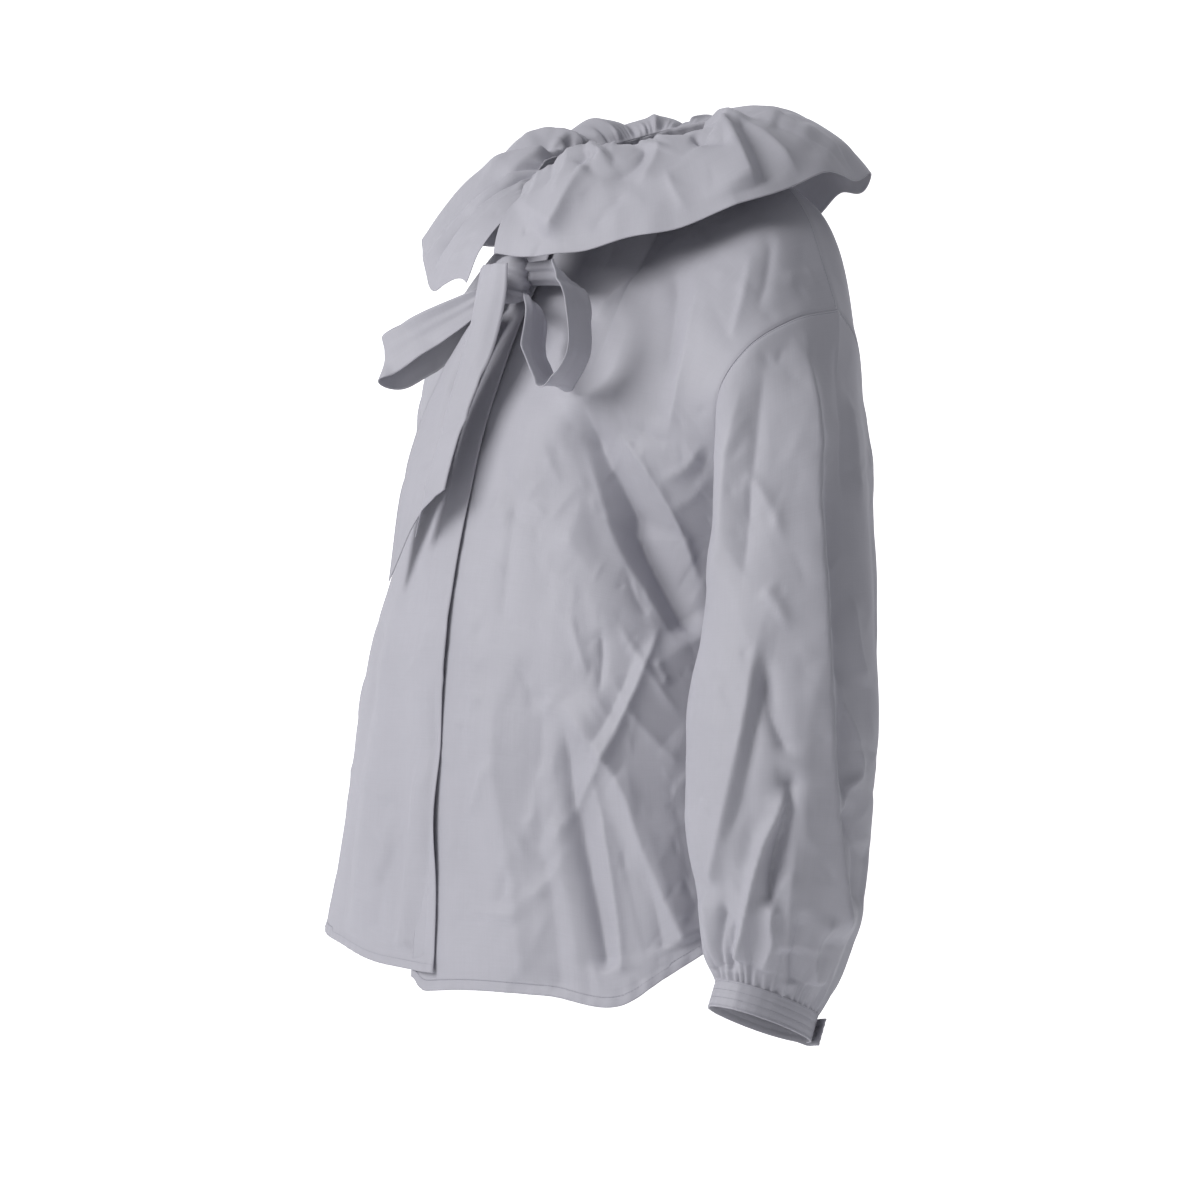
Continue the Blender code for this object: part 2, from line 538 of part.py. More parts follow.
def cuff(side):
    """A strip round the wrist whose ends pass each other on the back of it."""
    rows = SLEEVE_LEFT if side > 0 else SLEEVE_RIGHT
    count = 2 * ARMHOLE_STEPS
    around = np.linspace(0, 2 * math.pi, count, endpoint=False)
    ring = sleeve_ring(side, rows, 1.0, around)
    start = int(round(count * 0.80))
    order = [(start + k) % count for k in range(count + 1)]
    line = ring[order]
    middle = ring.mean(axis=0)
    extra = unit(line[1:2] - line[0:1]) * CUFF_LAP + line[0:1]
    line = np.concatenate([line, extra])
    outward = unit(line - middle)
    grow = np.zeros(len(line))
    grow[-3:] = (0.0012, 0.0024, 0.0024)
    grow[:2] = (-0.0006, -0.0002)
    line = line + outward * grow[:, None]
    down = unit(np.array((0.0, -FOREARM_LEAN, -1.0)))
    drop = np.zeros(len(line))
    drop[-3:] = (0.0006, 0.0014, 0.0014)
    line = line + down * drop[:, None]
    rows3 = np.array([line, line + down * CUFF_HEIGHT / 2, line + down * CUFF_HEIGHT])
    name = "cuff_left" if side > 0 else "cuff_right"
    return Cloth(name, inset(rows3, ["top"]), wall=0.0016, flip=side > 0)


def button(side, cloth, parent):
    """A flat round button on the lap of the cuff."""
    lap = cloth.points[1, -2]
    ahead = unit(cloth.points[1, -1] - cloth.points[1, -2])
    down = unit(cloth.points[2, -2] - cloth.points[0, -2])
    out = unit(np.cross(ahead, down))
    middle = cloth.points.reshape(-1, 3).mean(axis=0)
    if out @ (lap - middle) < 0:
        out = -out
    centre = lap + ahead * CUFF_LAP * 0.45 + out * (0.0008 + GAP + 0.0001)
    turn = np.linspace(0, 2 * math.pi, 16, endpoint=False)
    circle = np.cos(turn)[:, None] * ahead + np.sin(turn)[:, None] * np.cross(out, ahead)
    rings = [centre + circle * BUTTON_RADIUS * 0.94,
             centre + circle * BUTTON_RADIUS + out * BUTTON_THICK * 0.35,
             centre + circle * BUTTON_RADIUS * 0.94 + out * BUTTON_THICK * 0.9,
             centre + circle * BUTTON_RADIUS * 0.70 + out * BUTTON_THICK]
    verts = np.concatenate(rings)
    faces = [tuple(reversed(range(16)))]
    for ring in range(3):
        for k in range(16):
            j = (k + 1) % 16
            faces.append((ring * 16 + k, ring * 16 + j, ring * 16 + 16 + j, ring * 16 + 16 + k))
    faces.append(tuple(range(48, 64)))
    name = "cuff_button_left" if side > 0 else "cuff_button_right"
    return add_object(name, verts, faces, parent, colour=(0.50, 0.50, 0.56), rough=0.3)


def neck_band():
    keys, _ = neck_nodes("low")
    fine = np.sort(np.concatenate([keys, (keys[1:] + keys[:-1]) / 2]))
    low, top = neck_line("low", fine), neck_line("top", fine)
    points = inset(np.array([top, (top + low) / 2, low]), ["top", "bottom"])
    return Cloth("neck_band", points)


def frill_points(angles, rows):
    """The frill's middle surface, from its seam to its rim."""
    seam = neck_line("top", angles)
    mid = read(FRILL, "angle", "mid_x mid_y mid_z", angles)
    rim = read(FRILL, "angle", "rim_x rim_y rim_z", angles)
    out = []
    for t in rows:
        a = (1 - t) ** 2
        b = 2 * t * (1 - t)
        c = t * t
        grip = 2 * mid - (seam + rim) / 2
        grip = grip * 0.75 + mid * 0.25
        out.append(seam * a + grip * b + rim * c)
    return np.array(out)


def collar_frill():
    keys, _ = neck_nodes("top")
    fine = np.sort(np.concatenate([keys, (keys[1:] + keys[:-1]) / 2]))
    points = frill_points(fine, np.linspace(0, 1, 7))
    wave = np.cos(np.radians(fine) * 13.0 + 1.1) * 0.0055 + np.cos(np.radians(fine) * 7.0) * 0.003
    grow = np.linspace(0, 1, 7) ** 1.3
    points[..., 2] += grow[:, None] * wave[None, :]
    return Cloth("collar_frill", inset(points, ["top"]))


def ribbon(name, rows, lengthwise, across=4, cut=0.0, flip=False):
    """A ribbon along a table's middle line.  cut shortens one edge at the free
    end, for a slanted end."""
    side = np.linspace(-1, 1, across + 1)
    grid = []
    for w in side:
        t = np.linspace(0, 1, lengthwise + 1) * (1 - cut * (w + 1) / 2)
        middle = read(rows, "t", "x y z", t)
        wide = unit(read(rows, "t", "wide_x wide_y wide_z", t))
        run = unit(np.gradient(middle, axis=0))
        wide = unit(wide - (wide * run).sum(-1, keepdims=True) * run)
        out = np.cross(run, wide)
        width = smooth(rows["t"], rows["width"], t)[:, None]
        fold = smooth(rows["t"], rows["fold"], t)[:, None]
        grid.append(middle + wide * width * w / 2 + out * fold * (1 - abs(w)) * (-1 if flip else 1))
    return Cloth(name, np.array(grid).transpose(1, 0, 2))


def knot(parent):
    """The knot: a squeezed wrap of ribbon, waisted round its middle."""
    rows, cols = 7, 14
    verts, faces = [], []
    for i in range(rows + 1):
        tilt = math.pi * i / rows
        count = 1 if i in (0, rows) else cols
        for k in range(count):
            turn = 2 * math.pi * k / cols
            x = math.copysign(abs(math.cos(turn)) ** 0.8, math.cos(turn)) * math.sin(tilt) ** 0.7
            y = math.sin(turn) * math.sin(tilt) ** 0.8
            z = math.copysign(abs(math.cos(tilt)) ** 0.85, math.cos(tilt))
            pinch = 1 - 0.10 * math.cos(z * math.pi)
            verts.append((KNOT_CENTRE[0] + KNOT_HALF[0] * x * pinch, KNOT_CENTRE[1] + KNOT_HALF[1] * y * pinch,
                          KNOT_CENTRE[2] + KNOT_HALF[2] * z))

    def at(i, k):
        if i == 0:
            return 0
        if i == rows:
            return len(verts) - 1
        return 1 + (i - 1) * cols + k % cols

    for i in range(rows):
        for k in range(cols):
            loop = []
            for index in (at(i, k), at(i + 1, k), at(i + 1, k + 1), at(i, k + 1)):
                if index not in loop:
                    loop.append(index)
            faces.append(tuple(loop))
    return add_object("bow_knot", verts, faces, parent)


def main():
    for obj in list(bpy.data.objects):
        bpy.data.objects.remove(obj, do_unlink=True)
    root = bpy.data.objects.new("blouse", None)
    bpy.context.scene.collection.objects.link(root)
    body = [front_panel(1), front_panel(-1), back_panel(), sleeve(1), sleeve(-1), neck_band(), collar_frill()]
    cuffs = [cuff(1), cuff(-1)]
    bow = [ribbon("bow_loop_left", LOOP_LEFT, 18), ribbon("bow_loop_right", LOOP_RIGHT, 16),
           ribbon("bow_tail_left", TAIL_LEFT, 9, cut=0.22), ribbon("bow_tail_right", TAIL_RIGHT, 9, cut=0.30)]
    match_rims(body + cuffs)
    for cloth in body + cuffs + bow:
        cloth.build(root)
    button(1, cuffs[0], root)
    button(-1, cuffs[1], root)
    knot(root)


main()
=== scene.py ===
"""The finish of the blouse: crisp grey-lilac plain-weave cloth, gathered
frill, ribbon bow, seams, stitching and creases, round the fixed frame.

Metres, +Z up.  The wearer faces -Y and the wearer's left is +X.
"""
import json
import math

import bpy
import numpy as np
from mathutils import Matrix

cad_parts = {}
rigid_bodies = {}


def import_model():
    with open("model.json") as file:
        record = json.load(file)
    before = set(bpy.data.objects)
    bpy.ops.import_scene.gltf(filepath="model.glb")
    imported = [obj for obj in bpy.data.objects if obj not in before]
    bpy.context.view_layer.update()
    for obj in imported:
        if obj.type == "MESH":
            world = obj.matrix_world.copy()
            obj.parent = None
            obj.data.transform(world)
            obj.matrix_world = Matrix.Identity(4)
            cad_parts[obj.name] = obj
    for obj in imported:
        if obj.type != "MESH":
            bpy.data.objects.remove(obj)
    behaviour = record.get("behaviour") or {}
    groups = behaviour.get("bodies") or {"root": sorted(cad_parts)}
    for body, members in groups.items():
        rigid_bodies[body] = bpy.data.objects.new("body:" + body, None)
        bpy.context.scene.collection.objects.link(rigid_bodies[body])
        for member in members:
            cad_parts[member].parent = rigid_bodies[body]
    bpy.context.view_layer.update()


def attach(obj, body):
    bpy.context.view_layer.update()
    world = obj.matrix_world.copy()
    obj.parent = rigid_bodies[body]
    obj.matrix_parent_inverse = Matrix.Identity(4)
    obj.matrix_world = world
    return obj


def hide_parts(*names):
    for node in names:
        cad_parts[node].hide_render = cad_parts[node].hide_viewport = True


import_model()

# ---------------------------------------------------------------- camera
AZIMUTH = math.radians(50.0)      # the wearer is seen from the left of the front
DISTANCE = 2.8                    # from the upright axis through the neck
EYE_HEIGHT = -0.36                # level with the chest
ASIDE = -0.036                    # the picture's middle lies this far to the left of the axis
FOCAL_PIXELS = 3500.0             # of a picture 1200 pixels wide
RIGHT = np.array((math.cos(AZIMUTH), math.sin(AZIMUTH), 0.0))
TOWARD = np.array((math.sin(AZIMUTH), -math.cos(AZIMUTH), 0.0))


def picture(points):
    """Where points fall in the 1200 x 1200 picture: creases that show in it
    are placed by these coordinates."""
    scale = FOCAL_PIXELS / (DISTANCE - points @ TOWARD)
    x = 600.0 + (points @ RIGHT - ASIDE) * scale
    y = 600.0 - (points[..., 2] - EYE_HEIGHT) * scale
    return np.stack([x, y], axis=-1)


# ---------------------------------------------------------------- sizes
CLOTH_THICK = 0.0006
SEAM_GAP = 0.00015


LAP = 0.015            # each front passes the centre line by this much
LAP_LIFT = 0.0026      # the upper front lies this far in front of the lower one
NECK_SPLIT = 95.0      # degrees round the neck at which the shoulder seam starts
UNDERARM = 0.40        # share of a panel's height where armhole meets side seam
UNDERARM_EASE = 0.0024 # the sleeve stands off the side seam at the underarm
CUFF_HEIGHT = 0.020
CUFF_LAP = 0.016       # the cuff's ends pass each other by this much
FOREARM_LEAN = 0.40    # how far the forearm leans forward, per unit of drop



def table(names, *rows):
    """Rows of numbers as named columns."""
    names = names.split()
    return {name: np.array([row[k] for row in rows], float) for k, name in enumerate(names)}


# Centre front and centre back of the body, from neck to hem.
CENTRE = table(
    "v     front_y front_z  back_y back_z  front_grip back_grip",
    (0.00, -0.100, -0.075,  0.085,  0.008, 0.070, 0.080),
    (0.08, -0.117, -0.110,  0.098, -0.035, 0.080, 0.095),
    (0.16, -0.138, -0.150,  0.106, -0.085, 0.095, 0.105),
    (0.24, -0.156, -0.190,  0.109, -0.140, 0.105, 0.112),
    (0.32, -0.173, -0.232,  0.108, -0.200, 0.115, 0.115),
    (0.40, -0.187, -0.280,  0.104, -0.260, 0.120, 0.117),
    (0.55, -0.205, -0.360,  0.094, -0.360, 0.125, 0.120),
    (0.70, -0.214, -0.445,  0.086, -0.455, 0.135, 0.125),
    (0.85, -0.217, -0.545,  0.080, -0.545, 0.150, 0.132),
    (1.00, -0.221, -0.645,  0.078, -0.635, 0.165, 0.140),
)
# The outer edge of each front: the front of the armhole, then the side seam.
# aim_x, aim_y, aim_z is where the cloth heads from that edge, grip how firmly.
FRONT_EDGE_LEFT = table(
    "v      x       y       z      aim_x  aim_y  aim_z  grip",
    (0.00,  0.235, -0.012, -0.143, -0.70,  0.05,  0.60, 0.060),
    (0.08,  0.241, -0.062, -0.153, -0.80, -0.35,  0.45, 0.060),
    (0.16,  0.234, -0.105, -0.177, -0.95, -0.25,  0.15, 0.060),
    (0.24,  0.222, -0.122, -0.215, -1.00, -0.20,  0.00, 0.060),
    (0.32,  0.211, -0.095, -0.268, -0.60, -0.80,  0.00, 0.060),
    (0.40,  0.198, -0.035, -0.325,  0.00, -1.00,  0.00, 0.080),
    (0.55,  0.204, -0.045, -0.395,  0.05, -1.00,  0.00, 0.100),
    (0.70,  0.215, -0.052, -0.465,  0.05, -1.00,  0.00, 0.100),
    (0.85,  0.231, -0.057, -0.540,  0.00, -1.00,  0.00, 0.100),
    (1.00,  0.246, -0.060, -0.592,  0.00, -1.00,  0.00, 0.100),
)
FRONT_EDGE_RIGHT = table(
    "v      x       y       z      aim_x  aim_y  aim_z  grip",
    (0.00, -0.228,  0.004, -0.143,  0.70,  0.00,  0.60, 0.060),
    (0.08, -0.229, -0.030, -0.155,  0.75, -0.45,  0.45, 0.055),
    (0.16, -0.219, -0.056, -0.180,  0.80, -0.60,  0.15, 0.055),
    (0.24, -0.208, -0.064, -0.218,  0.75, -0.65,  0.00, 0.060),
    (0.32, -0.198, -0.048, -0.270,  0.50, -0.85,  0.00, 0.070),
    (0.40, -0.188, -0.012, -0.325,  0.00, -1.00,  0.00, 0.090),
    (0.55, -0.196, -0.030, -0.395, -0.02, -1.00,  0.00, 0.100),
    (0.70, -0.208, -0.042, -0.465, -0.03, -1.00,  0.00, 0.105),
    (0.85, -0.226, -0.052, -0.540,  0.00, -1.00,  0.00, 0.105),
    (1.00, -0.244, -0.060, -0.592,  0.00, -1.00,  0.00, 0.110),
)
# The outer edge of the back: the back of each armhole, then the side seam.
BACK_EDGE_LEFT = table(
    "v      x       y       z      aim_x  aim_y  aim_z  grip",
    (0.00,  0.235, -0.012, -0.143, -0.70,  0.25,  0.55, 0.060),
    (0.08,  0.227,  0.014, -0.163, -0.50,  0.45,  0.75, 0.075),
    (0.16,  0.213,  0.034, -0.195, -0.60,  0.60,  0.45, 0.065),
    (0.24,  0.202,  0.040, -0.235, -0.70,  0.70,  0.00, 0.050),
    (0.32,  0.197,  0.022, -0.282, -0.40,  0.90,  0.00, 0.055),
    (0.40,  0.198, -0.035, -0.325,  0.00,  1.00,  0.00, 0.070),
    (0.55,  0.204, -0.045, -0.395,  0.00,  1.00,  0.00, 0.080),
    (0.70,  0.215, -0.052, -0.465,  0.00,  1.00,  0.00, 0.080),
    (0.85,  0.231, -0.057, -0.540,  0.00,  1.00,  0.00, 0.080),
    (1.00,  0.246, -0.060, -0.592,  0.00,  1.00,  0.00, 0.080),
)
BACK_EDGE_RIGHT = table(
    "v      x       y       z      aim_x  aim_y  aim_z  grip",
    (0.00, -0.228,  0.004, -0.143,  0.70,  0.25,  0.55, 0.060),
    (0.08, -0.226,  0.036, -0.163,  0.50,  0.45,  0.75, 0.075),
    (0.16, -0.215,  0.060, -0.195,  0.60,  0.60,  0.45, 0.065),
    (0.24, -0.203,  0.068, -0.235,  0.70,  0.70,  0.00, 0.050),
    (0.32, -0.193,  0.046, -0.282,  0.40,  0.90,  0.00, 0.055),
    (0.40, -0.188, -0.012, -0.325,  0.00,  1.00,  0.00, 0.070),
    (0.55, -0.196, -0.030, -0.395,  0.00,  1.00,  0.00, 0.080),
    (0.70, -0.208, -0.042, -0.465,  0.00,  1.00,  0.00, 0.080),
    (0.85, -0.226, -0.052, -0.540,  0.00,  1.00,  0.00, 0.080),
    (1.00, -0.244, -0.060, -0.592,  0.00,  1.00,  0.00, 0.080),
)
# Hem height along each panel, from the centre to the side seam.
HEM_LEFT = table("u z", (0.0, -0.657), (0.08, -0.653), (0.3, -0.651), (0.5, -0.654),
                 (0.6, -0.635), (0.7, -0.618), (0.8, -0.603), (0.9, -0.594), (1.0, -0.592))
HEM_RIGHT = table("u z", (0.0, -0.642), (0.15, -0.640), (0.3, -0.631), (0.45, -0.628),
                  (0.6, -0.625), (0.8, -0.608), (1.0, -0.592))
HEM_BACK = table("u z", (0.0, -0.635), (0.3, -0.634), (0.55, -0.629), (0.75, -0.617),
                 (0.9, -0.598), (1.0, -0.592))
# The neckline of the body and the seam of the frill above it, for the left
# side; the right side is its mirror image.
NECK = table(
    "angle  low_x  low_y   low_z   top_x  top_y   top_z",
    (0.0,   0.003, -0.100, -0.075, 0.003, -0.108, -0.052),
    (20.0,  0.034, -0.092, -0.062, 0.022, -0.094, -0.030),
    (40.0,  0.056, -0.074, -0.042, 0.040, -0.072, -0.012),
    (65.0,  0.073, -0.040, -0.022, 0.055, -0.040, -0.002),
    (95.0,  0.079,  0.004, -0.010, 0.062,  0.004,  0.008),
    (120.0, 0.071,  0.042, -0.003, 0.056,  0.036,  0.017),
    (150.0, 0.042,  0.074,  0.005, 0.034,  0.060,  0.026),
    (180.0, 0.000,  0.085,  0.008, 0.000,  0.068,  0.030),
)
# The shoulder seam of the left side, from the neck to the sleeve.
SHOULDER = table(
    "t     x      y       z",
    (0.0,  0.079,  0.004, -0.010),
    (0.25, 0.120,  0.008, -0.023),
    (0.5,  0.160,  0.008, -0.044),
    (0.7,  0.192,  0.001, -0.074),
    (0.85, 0.214, -0.006, -0.108),
    (1.0,  0.235, -0.012, -0.143),
)
# Sections of each sleeve below the armhole: centre, half sizes along X and Y,
# and how far the section leans with the forearm.
SLEEVE_LEFT = table(
    "t     x      y       z      half_x half_y lean",
    (0.00, 0.232, -0.052, -0.245, 0.050, 0.060, -0.60),
    (0.20, 0.262, -0.082, -0.310, 0.052, 0.061, -0.30),
    (0.40, 0.279, -0.105, -0.385, 0.054, 0.068, -0.10),
    (0.60, 0.287, -0.117, -0.455, 0.057, 0.075,  0.00),
    (0.75, 0.290, -0.122, -0.520, 0.056, 0.073,  0.10),
    (0.88, 0.291, -0.128, -0.580, 0.049, 0.062,  0.25),
    (0.96, 0.291, -0.133, -0.625, 0.038, 0.048,  0.36),
    (1.00, 0.291, -0.136, -0.643, 0.030, 0.0395, 0.40),
)
SLEEVE_RIGHT = table(
    "t     x       y       z      half_x half_y lean",
    (0.00, -0.224, -0.004, -0.245, 0.050, 0.060, -0.60),
    (0.20, -0.246,  0.016, -0.310, 0.052, 0.061, -0.40),
    (0.40, -0.260,  0.046, -0.385, 0.054, 0.066, -0.30),
    (0.60, -0.267,  0.066, -0.455, 0.056, 0.070, -0.15),
    (0.75, -0.270,  0.070, -0.520, 0.055, 0.069,  0.00),
    (0.88, -0.271,  0.066, -0.575, 0.048, 0.060,  0.20),
    (0.96, -0.271,  0.061, -0.612, 0.038, 0.048,  0.35),
    (1.00, -0.271,  0.057, -0.628, 0.030, 0.0395, 0.40),
)
# The frill, round the neck from the centre front on the left side: its high
# line and its rim.  It starts on the seam line given by NECK.
FRILL = table(
    "angle  mid_x   mid_y   mid_z   rim_x   rim_y   rim_z",
    (0.0,    0.012, -0.148, -0.056,  0.020, -0.170, -0.096),
    (20.0,   0.046, -0.136, -0.046,  0.064, -0.154, -0.099),
    (40.0,   0.080, -0.112, -0.030,  0.104, -0.137, -0.094),
    (62.0,   0.108, -0.078, -0.016,  0.152, -0.106, -0.083),
    (90.0,   0.132, -0.028,  0.002,  0.197, -0.044, -0.054),
    (112.0,  0.124,  0.030,  0.020,  0.193,  0.026, -0.036),
    (135.0,  0.100,  0.080,  0.028,  0.164,  0.092, -0.030),
    (158.0,  0.054,  0.118,  0.030,  0.078,  0.146, -0.036),
    (180.0,  0.000,  0.124,  0.030,  0.000,  0.164, -0.042),
    (205.0, -0.054,  0.112,  0.034, -0.080,  0.140, -0.040),
    (228.0, -0.094,  0.070,  0.036, -0.154,  0.092, -0.046),
    (255.0, -0.112,  0.010,  0.030, -0.192,  0.012, -0.058),
    (282.0, -0.104, -0.052,  0.008, -0.186, -0.072, -0.070),
    (310.0, -0.080, -0.102, -0.028, -0.127, -0.127, -0.078),
    (338.0, -0.044, -0.136, -0.058, -0.072, -0.160, -0.109),
    (360.0, -0.013, -0.150, -0.073, -0.027, -0.168, -0.119),
)
# Ribbons of the bow: middle line, direction of the width, width, and the depth
# of the fold along the middle.
LOOP_LEFT = table(
    "t     x      y       z       wide_x wide_y wide_z width fold",
    (0.00, 0.0285, -0.142, -0.110, 0.0, -0.3, 1.0, 0.018, 0.002),
    (0.15, 0.060, -0.141, -0.111, 0.1,  -0.4, 0.8, 0.022, 0.002),
    (0.30, 0.094, -0.157, -0.117, 0.3,  -0.9, 0.2, 0.032, 0.001),
    (0.45, 0.126, -0.174, -0.145, 0.4,  -0.9, 0.0, 0.038, 0.001),
    (0.58, 0.130, -0.178, -0.181, 0.4,  -0.9, 0.0, 0.038, 0.001),
    (0.68, 0.108, -0.182, -0.202, 0.4,  -0.9, 0.0, 0.038, 0.001),
    (0.78, 0.084, -0.180, -0.176, 0.4,  -0.9, 0.0, 0.036, 0.001),
    (0.90, 0.064, -0.164, -0.142, 0.3,  -0.8, 0.2, 0.026, 0.002),
    (1.00, 0.029, -0.146, -0.128, 0.1,  -0.5, 0.8, 0.010, 0.002),
)
LOOP_RIGHT = table(
    "t     x       y       z       wide_x wide_y wide_z width fold",
    (0.00, -0.0105, -0.143, -0.119, 0.1, 0.0, 1.0, 0.012, 0.002),
    (0.16, -0.040, -0.158, -0.136, 0.0,  0.2, 1.0, 0.026, 0.003),
    (0.34, -0.078, -0.178, -0.157, 0.0,  0.2, 1.0, 0.034, 0.002),
    (0.46, -0.101, -0.184, -0.171, 0.0,  0.2, 1.0, 0.038, 0.001),
    (0.54, -0.101, -0.170, -0.175, 0.0,  0.2, 1.0, 0.038, 0.001),
    (0.66, -0.076, -0.156, -0.164, 0.0,  0.2, 1.0, 0.034, 0.001),
    (0.84, -0.040, -0.144, -0.143, 0.0,  0.1, 1.0, 0.024, 0.001),
    (1.00, -0.0105, -0.138, -0.127, 0.1, 0.0, 1.0, 0.012, 0.001),
)
TAIL_LEFT = table(
    "t     x       y       z       wide_x wide_y wide_z width fold",
    (0.00,  0.017, -0.167, -0.104, 1.0, -0.1, 0.0, 0.040, 0.006),
    (0.12,  0.017, -0.171, -0.129, 1.0, -0.1, 0.0, 0.045, 0.009),
    (0.26,  0.014, -0.177, -0.165, 1.0, -0.2, 0.0, 0.043, 0.011),
    (0.45,  0.004, -0.190, -0.212, 1.0, -0.3, 0.0, 0.040, 0.010),
    (0.70, -0.002, -0.204, -0.262, 1.0, -0.3, 0.0, 0.040, 0.008),
    (1.00, -0.006, -0.216, -0.312, 1.0, -0.3, 0.0, 0.040, 0.006),
)
TAIL_RIGHT = table(
    "t     x       y       z       wide_x wide_y wide_z width fold",
    (0.00, -0.008, -0.150, -0.133, 1.0,  0.3, 0.0, 0.016, 0.003),
    (0.20, -0.022, -0.160, -0.168, 1.0,  0.2, 0.0, 0.032, 0.005),
    (0.45, -0.036, -0.178, -0.220, 1.0,  0.1, 0.0, 0.042, 0.004),
    (0.70, -0.040, -0.194, -0.272, 1.0,  0.1, 0.0, 0.046, 0.004),
    (1.00, -0.036, -0.208, -0.345, 1.0,  0.1, 0.0, 0.046, 0.003),
)
KNOT_CENTRE = (0.009, -0.146, -0.115)
KNOT_HALF = (0.0155, 0.0105, 0.0165)


# ---------------------------------------------------------------- curves
def smooth(keys, values, at):
    """A smooth curve through values at rising keys, read at the given places."""
    at = np.clip(np.asarray(at, float), keys[0], keys[-1])
    values = np.asarray(values, float)
    step = np.diff(keys)
    slope = np.diff(values) / step
    tangent = np.empty_like(values)
    tangent[0], tangent[-1] = slope[0], slope[-1]
    tangent[1:-1] = (slope[:-1] * step[1:] + slope[1:] * step[:-1]) / (step[1:] + step[:-1])
    k = np.clip(np.searchsorted(keys, at, side="right") - 1, 0, len(keys) - 2)
    h = step[k]
    t = (at - keys[k]) / h
    return (values[k] * (1 + 2 * t) * (1 - t) ** 2 + h * tangent[k] * t * (1 - t) ** 2
            + values[k + 1] * t * t * (3 - 2 * t) + h * tangent[k + 1] * t * t * (t - 1))


def read(rows, key, names, at):
    """Several columns of a table at once, as points."""
    return np.stack([smooth(rows[key], rows[name], at) for name in names.split()], axis=-1)


def read_edge(rows, names, at):
    """An outer edge's columns: the armhole, then the side seam, with a corner
    at the underarm."""
    at = np.asarray(at, float)
    arm = {k: a[rows["v"] <= UNDERARM + 1e-9] for k, a in rows.items()}
    side = {k: a[rows["v"] >= UNDERARM - 1e-9] for k, a in rows.items()}
    return np.where((at <= UNDERARM)[..., None], read(arm, "v", names, at), read(side, "v", names, at))


def ease(low, high, x):
    t = np.clip((np.asarray(x, float) - low) / (high - low), 0.0, 1.0)
    return t * t * (3 - 2 * t)


def unit(vectors):
    return vectors / np.maximum(np.linalg.norm(vectors, axis=-1, keepdims=True), 1e-12)


def bezier(a, b, c, d, t):
    return (a * (1 - t) ** 3 + 3 * b * t * (1 - t) ** 2 + 3 * c * t * t * (1 - t) + d * t ** 3)


# ---------------------------------------------------------------- body
def panel_top(side, front, u):
    """Neckline, then shoulder seam.  u runs over 0..1 for the neckline and
    over 1..2 for the shoulder seam."""
    u = np.asarray(u, float)
    if front:
        angles = np.clip(u, 0, 1) * NECK_SPLIT
    else:
        angles = 180.0 - np.clip(u, 0, 1) * (180.0 - NECK_SPLIT)
    neck = read(NECK, "angle", "low_x low_y low_z", angles)
    seam = read(SHOULDER, "t", "x y z", np.clip(u - 1, 0, 1))
    points = np.where((u > 1)[..., None], seam, neck)
    if side < 0:
        drift = ease(0, 1, np.clip(u - 1, 0, 1))[..., None]
        points = points * (-1, 1, 1) + drift * np.array((0.007, 0.016, 0.0))
    return points


def panel_rows(side, front, share, v):
    """Points of a front or of half the back below its top edge: share runs
    from the centre line to the outer edge, v from neck to hem."""
    end = {(1, True): FRONT_EDGE_LEFT, (-1, True): FRONT_EDGE_RIGHT,
           (1, False): BACK_EDGE_LEFT, (-1, False): BACK_EDGE_RIGHT}[side, front]
    name = "front" if front else "back"
    y, z, reach = (smooth(CENTRE["v"], CENTRE[f"{name}_{k}"], v) for k in ("y", "z", "grip"))
    start = np.stack([np.zeros_like(y), y, z], axis=-1)
    start_grip = start + np.stack([side * reach, 0 * y, 0 * y], axis=-1)
    stop = read_edge(end, "x y z", v)
    stop_grip = stop + unit(read_edge(end, "aim_x aim_y aim_z", v)) * read_edge(end, "grip", v)
    t = share[..., None]
    points = bezier(start, start_grip, stop_grip, stop, t)
    hem = {(1, True): HEM_LEFT, (-1, True): HEM_RIGHT}.get((side, front), HEM_BACK)
    drop = smooth(hem["u"], hem["z"], share)
    ones = np.ones_like(share)
    flat = bezier(*(smooth(CENTRE["v"], CENTRE[f"{name}_z"], ones) if k < 2 else smooth(end["v"], end["z"], ones)
                    for k in range(4)), share)
    points[..., 2] += (drop - flat) * np.clip((v - 0.45) / 0.55, 0, 1) ** 2
    return points


def panel_points(side, front, u, v):
    """The middle surface of a front, or of one half of the back."""
    u, v = np.meshgrid(u, v)
    share = np.where(u <= 1, 0.40 * u, 0.40 + 0.60 * (u - 1))
    pull = panel_top(side, front, u) - panel_rows(side, front, share, 0 * v)
    near = (1 - ease(0.0, 0.30, v))[..., None] ** 1.2
    return panel_rows(side, front, share, v) + pull * near


def sleeve_ring(side, rows, t, around):
    """One section: around is 0 on the outer side, then the front, the inner
    side and the back."""
    x, y, z, half_x, half_y, lean = (float(smooth(rows["t"], rows[k], t))
                                     for k in ("x", "y", "z", "half_x", "half_y", "lean"))
    cx = np.cos(around)
    cy = -np.sin(around)
    n = 2.15
    scale = (np.abs(cx) ** n + np.abs(cy) ** n) ** (-1 / n)
    dx, dy = side * half_x * cx * scale, half_y * cy * scale
    return np.stack([x + dx, y + dy, z - lean * dy], axis=-1)


# ---------------------------------------------------------------- creases
def columns(names, rows):
    return table(names, *rows)


FOLD = 1.55          # the creases' heights below are those of pressed cloth
STROKE = "x0 y0 x1 y1 x2 y2 left right depth fade"
